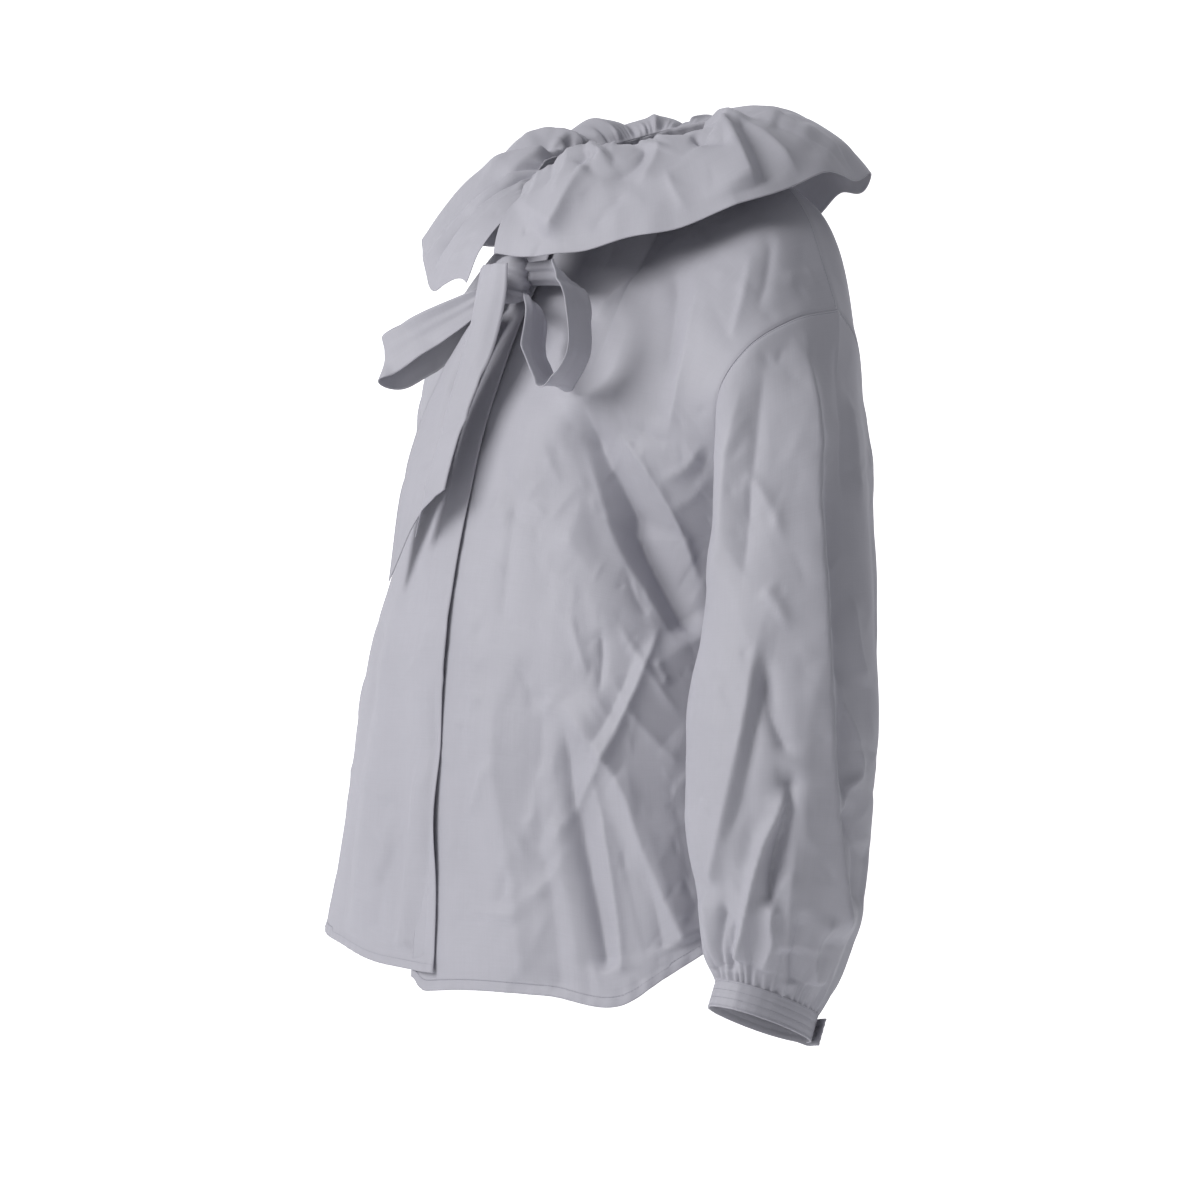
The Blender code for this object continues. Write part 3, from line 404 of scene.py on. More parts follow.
# Creases of the left front, by the picture's pixels: three points along each,
# top to bottom, the reach of its left and right flank in pixels, and its
# height in millimetres (negative for a trough).
FRONT_LEFT_CREASES = columns(STROKE, [
    # the large soft fold from under the bow to the underarm
    (578, 400, 622, 500, 700, 628, 26, 34, -15.0, 0.22),
    (545, 400, 590, 505, 668, 650, 30, 22, 4.0, 0.30),
    (640, 440, 676, 520, 712, 600, 14, 30, 3.5, 0.30),
    # crossing creases in the middle
    (664, 632, 606, 742, 512, 852, 12, 10, 2.6, 0.30),
    (560, 690, 602, 753, 640, 836, 9, 12, 2.2, 0.35),
    (640, 836, 662, 890, 686, 946, 9, 12, 2.4, 0.35),
    (650, 618, 658, 655, 668, 690, 7, 9, 1.5, 0.40),
    (588, 745, 600, 756, 612, 768, 6, 6, 1.2, 0.40),
    # upright folds towards the hem
    (574, 778, 594, 880, 616, 988, 10, 34, -6.5, 0.30),
    (596, 790, 624, 880, 646, 975, 22, 16, 4.5, 0.30),
    (556, 800, 566, 900, 584, 1006, 26, 14, 4.0, 0.28),
    (616, 822, 632, 900, 652, 970, 12, 14, -3.0, 0.30),
    (640, 810, 664, 880, 690, 952, 12, 18, 3.2, 0.30),
    (668, 760, 684, 850, 702, 938, 10, 18, -3.0, 0.30),
    (500, 700, 494, 850, 494, 990, 34, 30, 5.0, 0.30),
    (470, 640, 466, 800, 468, 985, 16, 26, -3.0, 0.30),
    (530, 640, 528, 800, 536, 998, 24, 24, -3.6, 0.30),
    (514, 862, 507, 886, 503, 912, 8, 8, -1.6, 0.35),
    (497, 755, 482, 790, 467, 824, 7, 9, 1.5, 0.35),
    (572, 858, 540, 888, 500, 924, 8, 8, 1.1, 0.35),
    (612, 808, 594, 862, 584, 934, 9, 9, 1.4, 0.35),
    (464, 912, 490, 914, 528, 921, 4, 4, 1.0, 0.35),
    (520, 898, 532, 914, 530, 935, 5, 5, -1.0, 0.40),
    # soft folds coming down from the collar
    (548, 398, 520, 470, 492, 640, 30, 26, 5.0, 0.35),
    (560, 420, 546, 520, 540, 640, 22, 22, -2.2, 0.35),
    (632, 262, 640, 330, 658, 420, 22, 26, 3.0, 0.35),
    (700, 232, 706, 300, 700, 372, 26, 22, 3.0, 0.35),
    (668, 250, 676, 320, 690, 400, 18, 18, -2.2, 0.35),
    (748, 222, 738, 290, 722, 352, 22, 18, -2.4, 0.35),
    (778, 214, 776, 262, 770, 316, 18, 20, 2.2, 0.35),
    # short sharp creases near the armhole
    (706, 470, 686, 492, 660, 512, 6, 6, 1.2, 0.40),
    (712, 438, 690, 466, 664, 486, 7, 7, 1.0, 0.40),
    (662, 510, 672, 540, 690, 574, 6, 7, 1.2, 0.40),
    (640, 392, 664, 424, 672, 466, 7, 8, -1.2, 0.40),
    (588, 590, 604, 620, 622, 640, 7, 7, 1.1, 0.40),
    (548, 560, 552, 620, 546, 690, 8, 10, 1.2, 0.40),
    (575, 560, 586, 620, 588, 690, 8, 8, -1.1, 0.40),
])
SLEEVE_LEFT_CREASES = columns(STROKE, [
    # the long fold down the middle
    (803, 318, 810, 420, 814, 520, 24, 7, 4.0, 0.20),
    (814, 500, 822, 590, 812, 690, 22, 8, 3.6, 0.25),
    (818, 660, 802, 740, 800, 860, 20, 9, 4.4, 0.20),
    (833, 340, 838, 470, 842, 600, 12, 10, -3.0, 0.30),
    (842, 560, 850, 680, 848, 800, 12, 12, 2.8, 0.30),
    (858, 600, 866, 700, 862, 800, 8, 8, -2.0, 0.30),
    # soft folds across the front half
    (728, 400, 722, 520, 712, 640, 20, 22, 3.0, 0.30),
    (752, 380, 750, 470, 742, 560, 20, 20, -2.4, 0.30),
    (778, 560, 760, 640, 734, 720, 12, 14, 2.6, 0.30),
    (790, 600, 764, 690, 742, 790, 12, 12, -3.0, 0.30),
    (748, 468, 768, 540, 790, 600, 8, 9, 1.5, 0.40),
    (756, 520, 776, 536, 796, 560, 6, 6, 1.2, 0.40),
    (720, 560, 736, 600, 748, 650, 8, 8, 1.3, 0.40),
    (700, 640, 708, 720, 712, 800, 12, 12, -2.2, 0.30),
    (716, 720, 720, 800, 728, 880, 12, 12, 2.4, 0.30),
    (768, 600, 784, 618, 806, 640, 6, 6, 1.1, 0.40),
    (846, 330, 850, 420, 858, 520, 7, 6, -1.6, 0.30),
])


def spread(values, low, high):
    t = np.clip((values - low) / (high - low), 0.0, 1.0)
    return t * t * (3 - 2 * t)


def creased(xy, rows, round_px=1.1):
    """The height field of a table of creases, in metres, at picture-like
    coordinates xy (1 px is about 0.8 mm)."""
    flat = xy.reshape(-1, 2)
    total = np.zeros(len(flat))
    count = 14
    t = np.linspace(0, 1, count)
    for k in range(len(rows["x0"])):
        r = {name: rows[name][k] for name in rows}
        a, b, c = (np.array((r[f"x{i}"], r[f"y{i}"])) for i in range(3))
        line = (a[None] * ((1 - t) * (1 - 2 * t))[:, None] + b[None] * (4 * t * (1 - t))[:, None]
                + c[None] * (t * (2 * t - 1))[:, None])
        margin = 4.0 * max(r["left"], r["right"]) + 4
        low, high = line.min(0) - margin, line.max(0) + margin
        near = np.nonzero(((flat > low) & (flat < high)).all(1))[0]
        if not len(near):
            continue
        p = flat[near]
        start, run = line[:-1], np.diff(line, axis=0)
        length = np.linalg.norm(run, axis=1)
        rel = p[:, None] - start[None]
        s = np.clip((rel * run[None]).sum(-1) / (length ** 2)[None], 0, 1)
        off = rel - s[..., None] * run[None]
        gap = np.linalg.norm(off, axis=-1)
        best = gap.argmin(1)
        pick = np.arange(len(p))
        d = gap[pick, best]
        cross = run[best, 0] * rel[pick, best, 1] - run[best, 1] * rel[pick, best, 0]
        along = (best + s[pick, best]) / (count - 1)
        width = np.where(cross > 0, r["left"], r["right"])
        e = np.sqrt(d * d + round_px ** 2) - round_px
        fade = max(r["fade"], 0.02)
        ends = spread(along, 0.0, fade) * spread(1 - along, 0.0, fade)
        total[near] += r["depth"] * 0.001 * np.exp(-(e / width) ** 1.08) * ends
    return total.reshape(xy.shape[:-1]) * FOLD


def drawn(xy, rows, round_px=0.8, power=1.1):
    """The height field of long creases, each (left, right, height, fade at
    its start, fade at its end, points along it)."""
    flat = xy.reshape(-1, 2)
    total = np.zeros(len(flat))
    for left, right, depth, fade_in, fade_out, points in rows:
        keys = np.linspace(0, 1, len(points))
        t = np.linspace(0, 1, 8 * len(points))
        line = np.stack([smooth(keys, np.array([p[k] for p in points], float), t) for k in (0, 1)], axis=-1)
        margin = 4.0 * max(left, right) + 4
        near = np.nonzero(((flat > line.min(0) - margin) & (flat < line.max(0) + margin)).all(1))[0]
        if not len(near):
            continue
        p = flat[near]
        start, run = line[:-1], np.diff(line, axis=0)
        length = np.linalg.norm(run, axis=1)
        rel = p[:, None] - start[None]
        share = np.clip((rel * run[None]).sum(-1) / (length ** 2)[None], 0, 1)
        gap = np.linalg.norm(rel - share[..., None] * run[None], axis=-1)
        best = gap.argmin(1)
        pick = np.arange(len(p))
        d = gap[pick, best]
        cross = run[best, 0] * rel[pick, best, 1] - run[best, 1] * rel[pick, best, 0]
        along = (best + share[pick, best]) / (len(t) - 1)
        width = np.where(cross > 0, left, right)
        e = np.sqrt(d * d + round_px ** 2) - round_px
        ends = spread(along, -0.001, max(fade_in, 0.001)) * spread(1 - along, -0.001, max(fade_out, 0.001))
        total[near] += depth * 0.001 * np.exp(-(e / width) ** power) * ends
    return total.reshape(xy.shape[:-1])


# Creases that the picture shows, in its pixels and in millimetres.
#    left right height fade_in fade_out  points
FRONT_LINES = (
    # the double crease that crosses the middle
    (7, 6, 3.6, 0.25, 0.30, ((661, 619), (651, 650), (625, 715), (608, 752), (579, 799), (530, 879))),
    (11, 7, -1.8, 0.30, 0.30, ((640, 640), (622, 690), (600, 735), (580, 770))),
    # the ridge that runs down from it to the hem, lit on its left
    (12, 22, 6.0, 0.22, 0.02, ((560, 699), (579, 728), (602, 757), (625, 795), (637, 833), (658, 888), (686, 945))),
    # the deep upright fold beside it
    (9, 26, -6.5, 0.25, 0.05, ((563, 705), (567, 770), (577, 833), (590, 896), (606, 975))),
    (10, 9, 4.0, 0.30, 0.05, ((590, 760), (604, 833), (613, 896), (622, 975))),
    (8, 10, -2.6, 0.30, 0.05, ((640, 850), (655, 900), (664, 950))),
    (26, 14, 3.4, 0.30, 0.05, ((500, 661), (494, 728), (500, 790), (512, 870), (528, 990))),
    (16, 16, -3.0, 0.30, 0.05, ((536, 640), (540, 720), (538, 820), (552, 900), (560, 1000))),
    (5, 6, 1.9, 0.25, 0.30, ((495, 757), (483, 790), (471, 817))),
    (5, 5, -1.8, 0.30, 0.30, ((510, 868), (506, 892), (503, 910))),
    (3, 4, 1.0, 0.25, 0.25, ((464, 912), (492, 914), (526, 921))),
    (5, 5, 1.8, 0.30, 0.30, ((654, 658), (661, 672), (670, 688))),
    (4, 5, -2.0, 0.30, 0.30, ((600, 626), (602, 657), (598, 699))),
    (5, 6, 1.5, 0.30, 0.30, ((612, 612), (633, 648), (658, 686), (684, 722))),
    (6, 6, 1.4, 0.30, 0.30, ((608, 668), (630, 712), (660, 746), (684, 768))),
    (5, 5, 1.2, 0.30, 0.30, ((570, 600), (576, 640), (590, 680))),
    (5, 6, -1.3, 0.30, 0.30, ((622, 560), (636, 596), (652, 622))),
    (5, 5, 1.1, 0.30, 0.30, ((546, 752), (534, 800), (528, 842))),
    (6, 5, 1.1, 0.30, 0.30, ((566, 858), (545, 884), (527, 905))),
    (6, 9, 1.5, 0.30, 0.30, ((478, 560), (472, 640), (474, 720), (470, 800))),
    (5, 7, -1.2, 0.30, 0.30, ((520, 470), (508, 560), (500, 640))),
    # the large fold from the bow to the underarm
    (28, 26, -13.0, 0.25, 0.10, ((583, 392), (590, 450), (628, 515), (664, 580), (700, 640))),
    (8, 16, 3.4, 0.25, 0.20, ((568, 420), (590, 478), (618, 546), (646, 590), (684, 652))),
    (12, 6, 3.2, 0.25, 0.20, ((604, 424), (644, 470), (682, 534), (704, 590))),
    # slanting pulls between the collar and the armhole
    (7, 9, 2.4, 0.25, 0.30, ((640, 272), (612, 300), (592, 322))),
    (8, 10, 2.6, 0.30, 0.30, ((706, 262), (690, 330), (676, 400), (660, 452))),
    (8, 10, -2.4, 0.30, 0.30, ((676, 252), (672, 320), (664, 380))),
    (6, 8, 2.0, 0.30, 0.30, ((748, 240), (744, 292), (730, 344))),
    (6, 7, -1.6, 0.30, 0.30, ((772, 226), (768, 270), (756, 318))),
    (5, 6, 1.5, 0.30, 0.30, ((706, 440), (684, 468), (654, 484))),
    (5, 6, 1.4, 0.30, 0.30, ((712, 474), (690, 500), (666, 512))),
    (6, 6, -1.4, 0.30, 0.30, ((630, 420), (650, 436), (676, 446))),
)
RIGHT_LINES = (
    (8, 7, -3.0, 0.25, 0.05, ((436, 660), (432, 780), (424, 880), (416, 962))),
    (8, 10, 3.2, 0.25, 0.05, ((424, 740), (412, 850), (402, 950))),
    (7, 8, 2.0, 0.30, 0.30, ((396, 800), (388, 850), (373, 900))),
    (8, 9, -2.2, 0.30, 0.10, ((398, 830), (386, 880), (374, 936))),
    (5, 6, 1.3, 0.30, 0.30, ((340, 758), (372, 786), (402, 806))),
    (20, 16, 4.0, 0.30, 0.05, ((404, 560), (386, 680), (372, 800), (356, 938))),
    (10, 12, -2.6, 0.30, 0.05, ((386, 620), (366, 760), (346, 932))),
    (6, 7, 1.4, 0.30, 0.30, ((436, 620), (420, 660), (398, 690))),
)
SLEEVE_LINES = (
    # the long edge down the middle: lit on its left, a deep valley on its right
    (26, 11, 9.0, 0.12, 0.10, ((803, 322), (808, 420), (813, 500), (819, 600), (822, 660), (824, 745), (827, 811),
                               (833, 847), (837, 906), (838, 945))),
    (12, 16, -6.0, 0.20, 0.20, ((822, 420), (832, 540), (838, 660), (842, 760), (850, 860), (852, 930))),
    # slanting folds on the front half
    (9, 7, 3.2, 0.25, 0.06, ((759, 622), (751, 682), (741, 738), (732, 780), (723, 824), (709, 890))),
    (8, 9, -3.2, 0.30, 0.20, ((768, 630), (760, 700), (750, 750), (738, 800), (724, 850))),
    (8, 9, -4.2, 0.25, 0.25, ((762, 650), (768, 699), (779, 735), (791, 762))),
    (6, 9, 6.0, 0.16, 0.05, ((787, 778), (776, 814), (762, 847), (751, 890), (743, 933), (735, 962))),
    (7, 8, -7.0, 0.16, 0.10, ((790, 765), (788, 800), (779, 842), (773, 874), (770, 910))),
    (7, 20, 4.0, 0.20, 0.05, ((793, 755), (791, 808), (789, 867), (786, 906), (784, 955))),
    (6, 8, 4.6, 0.20, 0.05, ((790, 866), (776, 893), (769, 916), (770, 943), (761, 972))),
    (7, 8, 4.0, 0.25, 0.05, ((705, 888), (711, 930), (719, 968))),
    (5, 6, -4.0, 0.25, 0.05, ((724, 900), (721, 935), (722, 968))),
    (5, 6, -3.6, 0.25, 0.05, ((738, 915), (732, 945), (730, 972))),
    (6, 7, 5.0, 0.25, 0.05, ((826, 912), (813, 946), (811, 985))),
    (6, 7, -4.0, 0.25, 0.05, ((800, 905), (794, 945), (792, 985))),
    # the broken crease on the shaded side
    (6, 8, 4.0, 0.15, 0.10, ((838, 665), (842, 702), (854, 738), (861, 771), (848, 791), (838, 818))),
    (6, 8, -3.2, 0.20, 0.10, ((846, 800), (856, 830), (862, 860), (856, 910))),
    (6, 6, 2.4, 0.25, 0.20, ((852, 590), (858, 640), (868, 690))),
    # upper sleeve
    (16, 12, 3.2, 0.25, 0.25, ((744, 372), (730, 450), (722, 520), (716, 600))),
    (14, 12, -2.6, 0.25, 0.25, ((766, 350), (758, 430), (748, 520), (742, 600))),
    (6, 7, 2.0, 0.25, 0.30, ((744, 470), (766, 500), (786, 548))),
    (6, 7, 1.8, 0.25, 0.30, ((762, 590), (774, 604), (790, 636))),
    (6, 8, -2.2, 0.25, 0.30, ((836, 330), (842, 420), (848, 520))),
    (5, 6, 2.0, 0.25, 0.30, ((850, 390), (856, 450), (862, 520))),
)
FRILL_LINES = (
    # near wing: the long ridge, lit on its left
    (28, 8, 7.6, 0.08, 0.22, ((610, 153), (586, 176), (570, 198), (556, 222), (542, 239))),
    (7, 7, -3.0, 0.10, 0.35, ((600, 156), (594, 168), (588, 180))),
    (5, 5, -2.6, 0.10, 0.40, ((590, 156), (584, 164), (580, 172))),
    (6, 14, -4.0, 0.10, 0.35, ((646, 144), (640, 160), (622, 174), (600, 183))),
    (10, 8, 3.0, 0.15, 0.35, ((660, 141), (652, 164), (636, 186))),
    (4, 5, -5.0, 0.15, 0.30, ((690, 134), (704, 143), (722, 146), (732, 143))),
    # the strong ridge over the shoulder, dark on its right
    (30, 7, 7.0, 0.10, 0.12, ((720, 125), (733, 141), (744, 162), (755, 185))),
    (6, 12, -4.2, 0.15, 0.20, ((738, 124), (752, 144), (762, 164), (768, 184))),
    (9, 10, 4.0, 0.12, 0.30, ((709, 118), (754, 131), (780, 150), (802, 177))),
    (9, 12, -3.0, 0.15, 0.30, ((770, 118), (800, 134), (826, 160))),
    (8, 8, 2.4, 0.20, 0.35, ((798, 122), (824, 140), (846, 166))),
    (7, 8, 1.8, 0.25, 0.40, ((664, 168), (676, 194), (692, 212))),
    (7, 8, -1.6, 0.25, 0.40, ((628, 190), (604, 214), (588, 236))),
)
FAR_LINES = (
    # far wing: gathers that fan out from the neck, and the dark pocket
    (6, 5, -6.0, 0.05, 0.20, ((572, 152), (548, 160), (522, 172), (496, 190))),
    (8, 5, 4.6, 0.08, 0.25, ((570, 146), (546, 151), (518, 163), (494, 182))),
    (5, 5, -3.6, 0.08, 0.35, ((574, 143), (556, 146), (538, 153))),
    (5, 5, 3.0, 0.08, 0.35, ((576, 137), (560, 140), (546, 145))),
    (5, 5, -3.0, 0.08, 0.35, ((578, 132), (562, 132), (546, 138))),
    (9, 9, -3.0, 0.15, 0.35, ((560, 139), (536, 148), (508, 160), (470, 190))),
    (8, 9, 2.6, 0.20, 0.35, ((540, 134), (510, 150), (480, 180))),
    (7, 8, -1.8, 0.20, 0.35, ((470, 205), (452, 230), (444, 258))),
)


def crumple(xy, seed, count, low, high, size=1.0, depth=1.0, upright=0.6):
    """Many small uneven creases, as worn crisp cotton holds: short strokes in
    two slanting families, each a little ridge or trough."""
    rng = np.random.default_rng(seed)
    rows = []
    for _ in range(count):
        x, y = rng.uniform(low[0], high[0]), rng.uniform(low[1], high[1])
        lean = rng.choice((-1, 1)) * rng.uniform(0.05, 1.0 - 0.6 * upright) * 1.2
        length = rng.uniform(14, 80) * size
        dx, dy = math.sin(lean) * length / 2, math.cos(lean) * length / 2
        bow = rng.uniform(-0.12, 0.12) * length
        sharp = rng.uniform(2.0, 6.0) * size
        soft = sharp * rng.uniform(1.0, 3.2)
        if rng.uniform() < 0.5:
            sharp, soft = soft, sharp
        rows.append((x - dx, y - dy, x + bow * math.cos(lean), y + bow * math.sin(lean) * 0.5, x + dx, y + dy,
                     sharp, soft, rng.choice((-1, 1)) * rng.uniform(0.25, 0.95) * depth, 0.45))
    return creased(xy, table(STROKE, *rows), 0.9)


def waves(xy, seed, wavelength, height, stretch=(1.0, 1.0)):
    """Broad, irregular unevenness of hanging cloth."""
    rng = np.random.default_rng(seed)
    total = np.zeros(xy.shape[:-1])
    for _ in range(7):
        turn = rng.uniform(0, math.pi)
        k = 2 * math.pi / (wavelength * rng.uniform(0.7, 1.6))
        phase = rng.uniform(0, 2 * math.pi)
        total += np.sin(k * (xy[..., 0] * math.cos(turn) * stretch[0] + xy[..., 1] * math.sin(turn) * stretch[1]) + phase)
    return total / 7 * height * 1.6


# ---------------------------------------------------------------- meshes
def clustered(low, high, count, edge_low=True, edge_high=True, steps=(0.0016, 0.004)):
    """Even places from low to high, with extra ones close to the ends."""
    inner = np.linspace(low, high, count + 1)
    extra = []
    if edge_low:
        extra += [low + s for s in steps]
    if edge_high:
        extra += [high - s for s in steps]
    return np.unique(np.round(np.concatenate([inner, extra]), 7))


def fine_normals(points, closed=False):
    if closed:
        across = np.roll(points, -1, axis=1) - np.roll(points, 1, axis=1)
    else:
        across = np.gradient(points, axis=1)
    along = np.gradient(points, axis=0)
    normal = np.cross(across, along)
    size = np.linalg.norm(normal, axis=-1, keepdims=True)
    return normal / np.maximum(size, 1e-12)


def shell(name, points, material, closed=False, thick=CLOTH_THICK, flip=False, uv=None):
    """A closed thin wall of cloth on a grid of middle points."""
    rows, cols = points.shape[:2]
    normals = fine_normals(points, closed) * (-1 if flip else 1)
    if np.isscalar(thick):
        half = np.full((rows, cols, 1), thick / 2)
    else:
        half = np.asarray(thick)[..., None] / 2
    verts = np.concatenate([(points + normals * half).reshape(-1, 3), (points - normals * half).reshape(-1, 3)])
    count = rows * cols
    i, j = np.meshgrid(np.arange(rows - 1), np.arange(cols if closed else cols - 1), indexing="ij")
    k = (j + 1) % cols
    quads = np.stack([i * cols + j, i * cols + k, (i + 1) * cols + k, (i + 1) * cols + j], axis=-1).reshape(-1, 4)
    outer = quads[:, ::-1] if flip else quads
    inner = outer[:, ::-1] + count
    sides = []

    def wall(line, reverse):
        a, b = line[:-1], line[1:]
        if reverse:
            a, b = b, a
        sides.append(np.stack([b, a, a + count, b + count], axis=-1))

    top, bottom = np.arange(cols), (rows - 1) * cols + np.arange(cols)
    if closed:
        top, bottom = np.append(top, top[0]), np.append(bottom, bottom[0])
    wall(top, flip)
    wall(bottom, not flip)
    if not closed:
        left, right = np.arange(rows) * cols, np.arange(rows) * cols + cols - 1
        wall(left, not flip)
        wall(right, flip)
    faces = np.concatenate([outer, inner] + sides)
    mesh = bpy.data.meshes.new(name)
    mesh.vertices.add(len(verts))
    mesh.vertices.foreach_set("co", verts.astype(np.float32).ravel())
    mesh.loops.add(faces.size)
    mesh.loops.foreach_set("vertex_index", faces.astype(np.int32).ravel())
    mesh.polygons.add(len(faces))
    mesh.polygons.foreach_set("loop_start", np.arange(0, faces.size, 4, dtype=np.int32))
    mesh.polygons.foreach_set("loop_total", np.full(len(faces), 4, dtype=np.int32))
    mesh.update(calc_edges=True)
    mesh.validate()
    mesh.shade_smooth()
    if uv is None:
        du = np.linalg.norm(np.diff(points, axis=1), axis=-1).mean(0)
        dv = np.linalg.norm(np.diff(points, axis=0), axis=-1).mean(1)
        uu = np.concatenate([[0], np.cumsum(du)])[:cols]
        vv = np.concatenate([[0], np.cumsum(dv)])
        uv = np.stack(np.meshgrid(uu, vv), axis=-1)
    flat_uv = np.concatenate([uv.reshape(-1, 2)] * 2)
    layer = mesh.uv_layers.new(name="cloth")
    layer.data.foreach_set("uv", flat_uv[faces.ravel()].astype(np.float32).ravel())
    mesh.materials.append(material)
    obj = bpy.data.objects.new(name, mesh)
    bpy.context.scene.collection.objects.link(obj)
    return obj


def area_of(points, closed=False):
    if closed:
        points = np.concatenate([points, points[:, :1]], axis=1)
    a, b = points[1:, 1:] - points[:-1, :-1], points[1:, :-1] - points[:-1, 1:]
    return float(np.linalg.norm(np.cross(a, b), axis=-1).sum() / 2)


def declare(obj, node, points, flat, closed=False, fullness=1.0):
    """The piece stands for a node and rides on the body; its area, capped at its cut size, is worked out but not used."""
    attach(obj, "root")
    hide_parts(node)
    area = area_of(points, closed) * fullness
    w, l = flat
    area = min(area, w * l)


# ---------------------------------------------------------------- material
def cloth_material(name, base=(0.385, 0.383, 0.428), weave=1.0):
    """Crisp plain weave: fine crossed threads with slubs, faint mottling,
    small crumples and a soft sheen."""
    material = bpy.data.materials.new(name)
    material.use_nodes = True
    tree = material.node_tree
    nodes, links = tree.nodes, tree.links
    shader = nodes["Principled BSDF"]
    shader.inputs["Roughness"].default_value = 0.58
    shader.inputs["IOR"].default_value = 1.46
    shader.inputs["Specular IOR Level"].default_value = 0.38
    shader.inputs["Sheen Weight"].default_value = 0.22
    shader.inputs["Sheen Roughness"].default_value = 0.38
    shader.inputs["Sheen Tint"].default_value = (0.86, 0.86, 0.96, 1.0)

    def new(kind, **values):
        node = nodes.new(kind)
        for key, value in values.items():
            setattr(node, key, value)
        return node

    uv = new("ShaderNodeUVMap", uv_map="cloth")
    place = new("ShaderNodeTexCoord")

    def scaled(source, scale):
        mapping = new("ShaderNodeMapping")
        mapping.inputs["Scale"].default_value = scale
        links.new(source, mapping.inputs["Vector"])
        return mapping.outputs["Vector"]

    def noise(source, scale, size, detail=3.0, rough=0.5):
        node = new("ShaderNodeTexNoise")
        node.inputs["Scale"].default_value = size
        node.inputs["Detail"].default_value = detail
        node.inputs["Roughness"].default_value = rough
        links.new(scaled(source, scale), node.inputs["Vector"])
        return node.outputs["Fac"]

    def math_node(kind, a, b=None):
        node = new("ShaderNodeMath", operation=kind)
        for k, value in enumerate((a, b)):
            if value is None:
                continue
            if isinstance(value, (int, float)):
                node.inputs[k].default_value = value
            else:
                links.new(value, node.inputs[k])
        return node.outputs[0]

    warp = noise(uv.outputs["UV"], (1400.0, 26.0, 1.0), 1.0, 2.0)
    weft = noise(uv.outputs["UV"], (26.0, 1400.0, 1.0), 1.0, 2.0)
    threads = math_node("ADD", warp, weft)
    mottle = noise(place.outputs["Object"], (1, 1, 1), 14.0, 4.0)
    small = noise(place.outputs["Object"], (1, 1, 1), 90.0, 3.0)

    # colour: thread slubs and faint mottling
    tone = new("ShaderNodeValToRGB")
    tone.color_ramp.elements[0].position = 0.62
    tone.color_ramp.elements[1].position = 1.38
    dark = tuple(c * 0.93 for c in base)
    light = tuple(min(1.0, c * 1.05) for c in base)
    tone.color_ramp.elements[0].color = (*dark, 1)
    tone.color_ramp.elements[1].color = (*light, 1)
    half = math_node("MULTIPLY", threads, 0.5)
    mix = math_node("ADD", math_node("MULTIPLY", half, 0.55), math_node("MULTIPLY", mottle, 0.45))
    ramp = new("ShaderNodeMapRange")
    ramp.inputs["From Min"].default_value = 0.30
    ramp.inputs["From Max"].default_value = 0.70
    links.new(mix, ramp.inputs["Value"])
    tone.color_ramp.elements[0].position = 0.0
    tone.color_ramp.elements[1].position = 1.0
    links.new(ramp.outputs["Result"], tone.inputs["Fac"])
    links.new(tone.outputs["Color"], shader.inputs["Base Color"])

    # roughness: threads catch the light unevenly
    rough = new("ShaderNodeMapRange")
    rough.inputs["To Min"].default_value = 0.50
    rough.inputs["To Max"].default_value = 0.66
    links.new(mix, rough.inputs["Value"])
    links.new(rough.outputs["Result"], shader.inputs["Roughness"])

    # relief: threads, then small crumples
    bump = new("ShaderNodeBump")
    bump.inputs["Strength"].default_value = 0.20 * weave
    bump.inputs["Distance"].default_value = 0.0002
    links.new(threads, bump.inputs["Height"])
    crisp = new("ShaderNodeTexNoise")
    crisp.noise_type = "RIDGED_MULTIFRACTAL"
    crisp.inputs["Scale"].default_value = 1.0
    crisp.inputs["Detail"].default_value = 2.0
    crisp.inputs["Roughness"].default_value = 0.45
    crisp.inputs["Distortion"].default_value = 0.35
    links.new(scaled(place.outputs["Object"], (24.0, 24.0, 11.0)), crisp.inputs["Vector"])
    folds = new("ShaderNodeBump")
    folds.inputs["Strength"].default_value = 0.8
    folds.inputs["Distance"].default_value = 0.0034
    links.new(crisp.outputs["Fac"], folds.inputs["Height"])
    links.new(bump.outputs["Normal"], folds.inputs["Normal"])
    soft = new("ShaderNodeBump")
    soft.inputs["Strength"].default_value = 0.30
    soft.inputs["Distance"].default_value = 0.0016
    links.new(math_node("ADD", math_node("MULTIPLY", mottle, 1.0), math_node("MULTIPLY", small, 0.22)), soft.inputs["Height"])
    links.new(folds.outputs["Normal"], soft.inputs["Normal"])
    links.new(soft.outputs["Normal"], shader.inputs["Normal"])
    return material


def plain_material(name, base, rough, sheen=0.0):
    """Thread or moulded button, with a slight unevenness."""
    material = bpy.data.materials.new(name)
    material.use_nodes = True
    tree = material.node_tree
    shader = tree.nodes["Principled BSDF"]
    shader.inputs["Roughness"].default_value = rough
    shader.inputs["Sheen Weight"].default_value = sheen
    place = tree.nodes.new("ShaderNodeTexCoord")
    noise = tree.nodes.new("ShaderNodeTexNoise")
    noise.inputs["Scale"].default_value = 400.0
    noise.inputs["Detail"].default_value = 3.0
    tree.links.new(place.outputs["Object"], noise.inputs["Vector"])
    ramp = tree.nodes.new("ShaderNodeValToRGB")
    ramp.color_ramp.elements[0].color = (*(c * 0.86 for c in base), 1)
    ramp.color_ramp.elements[1].color = (*(min(1, c * 1.08) for c in base), 1)
    tree.links.new(noise.outputs["Fac"], ramp.inputs["Fac"])
    tree.links.new(ramp.outputs["Color"], shader.inputs["Base Color"])
    return material


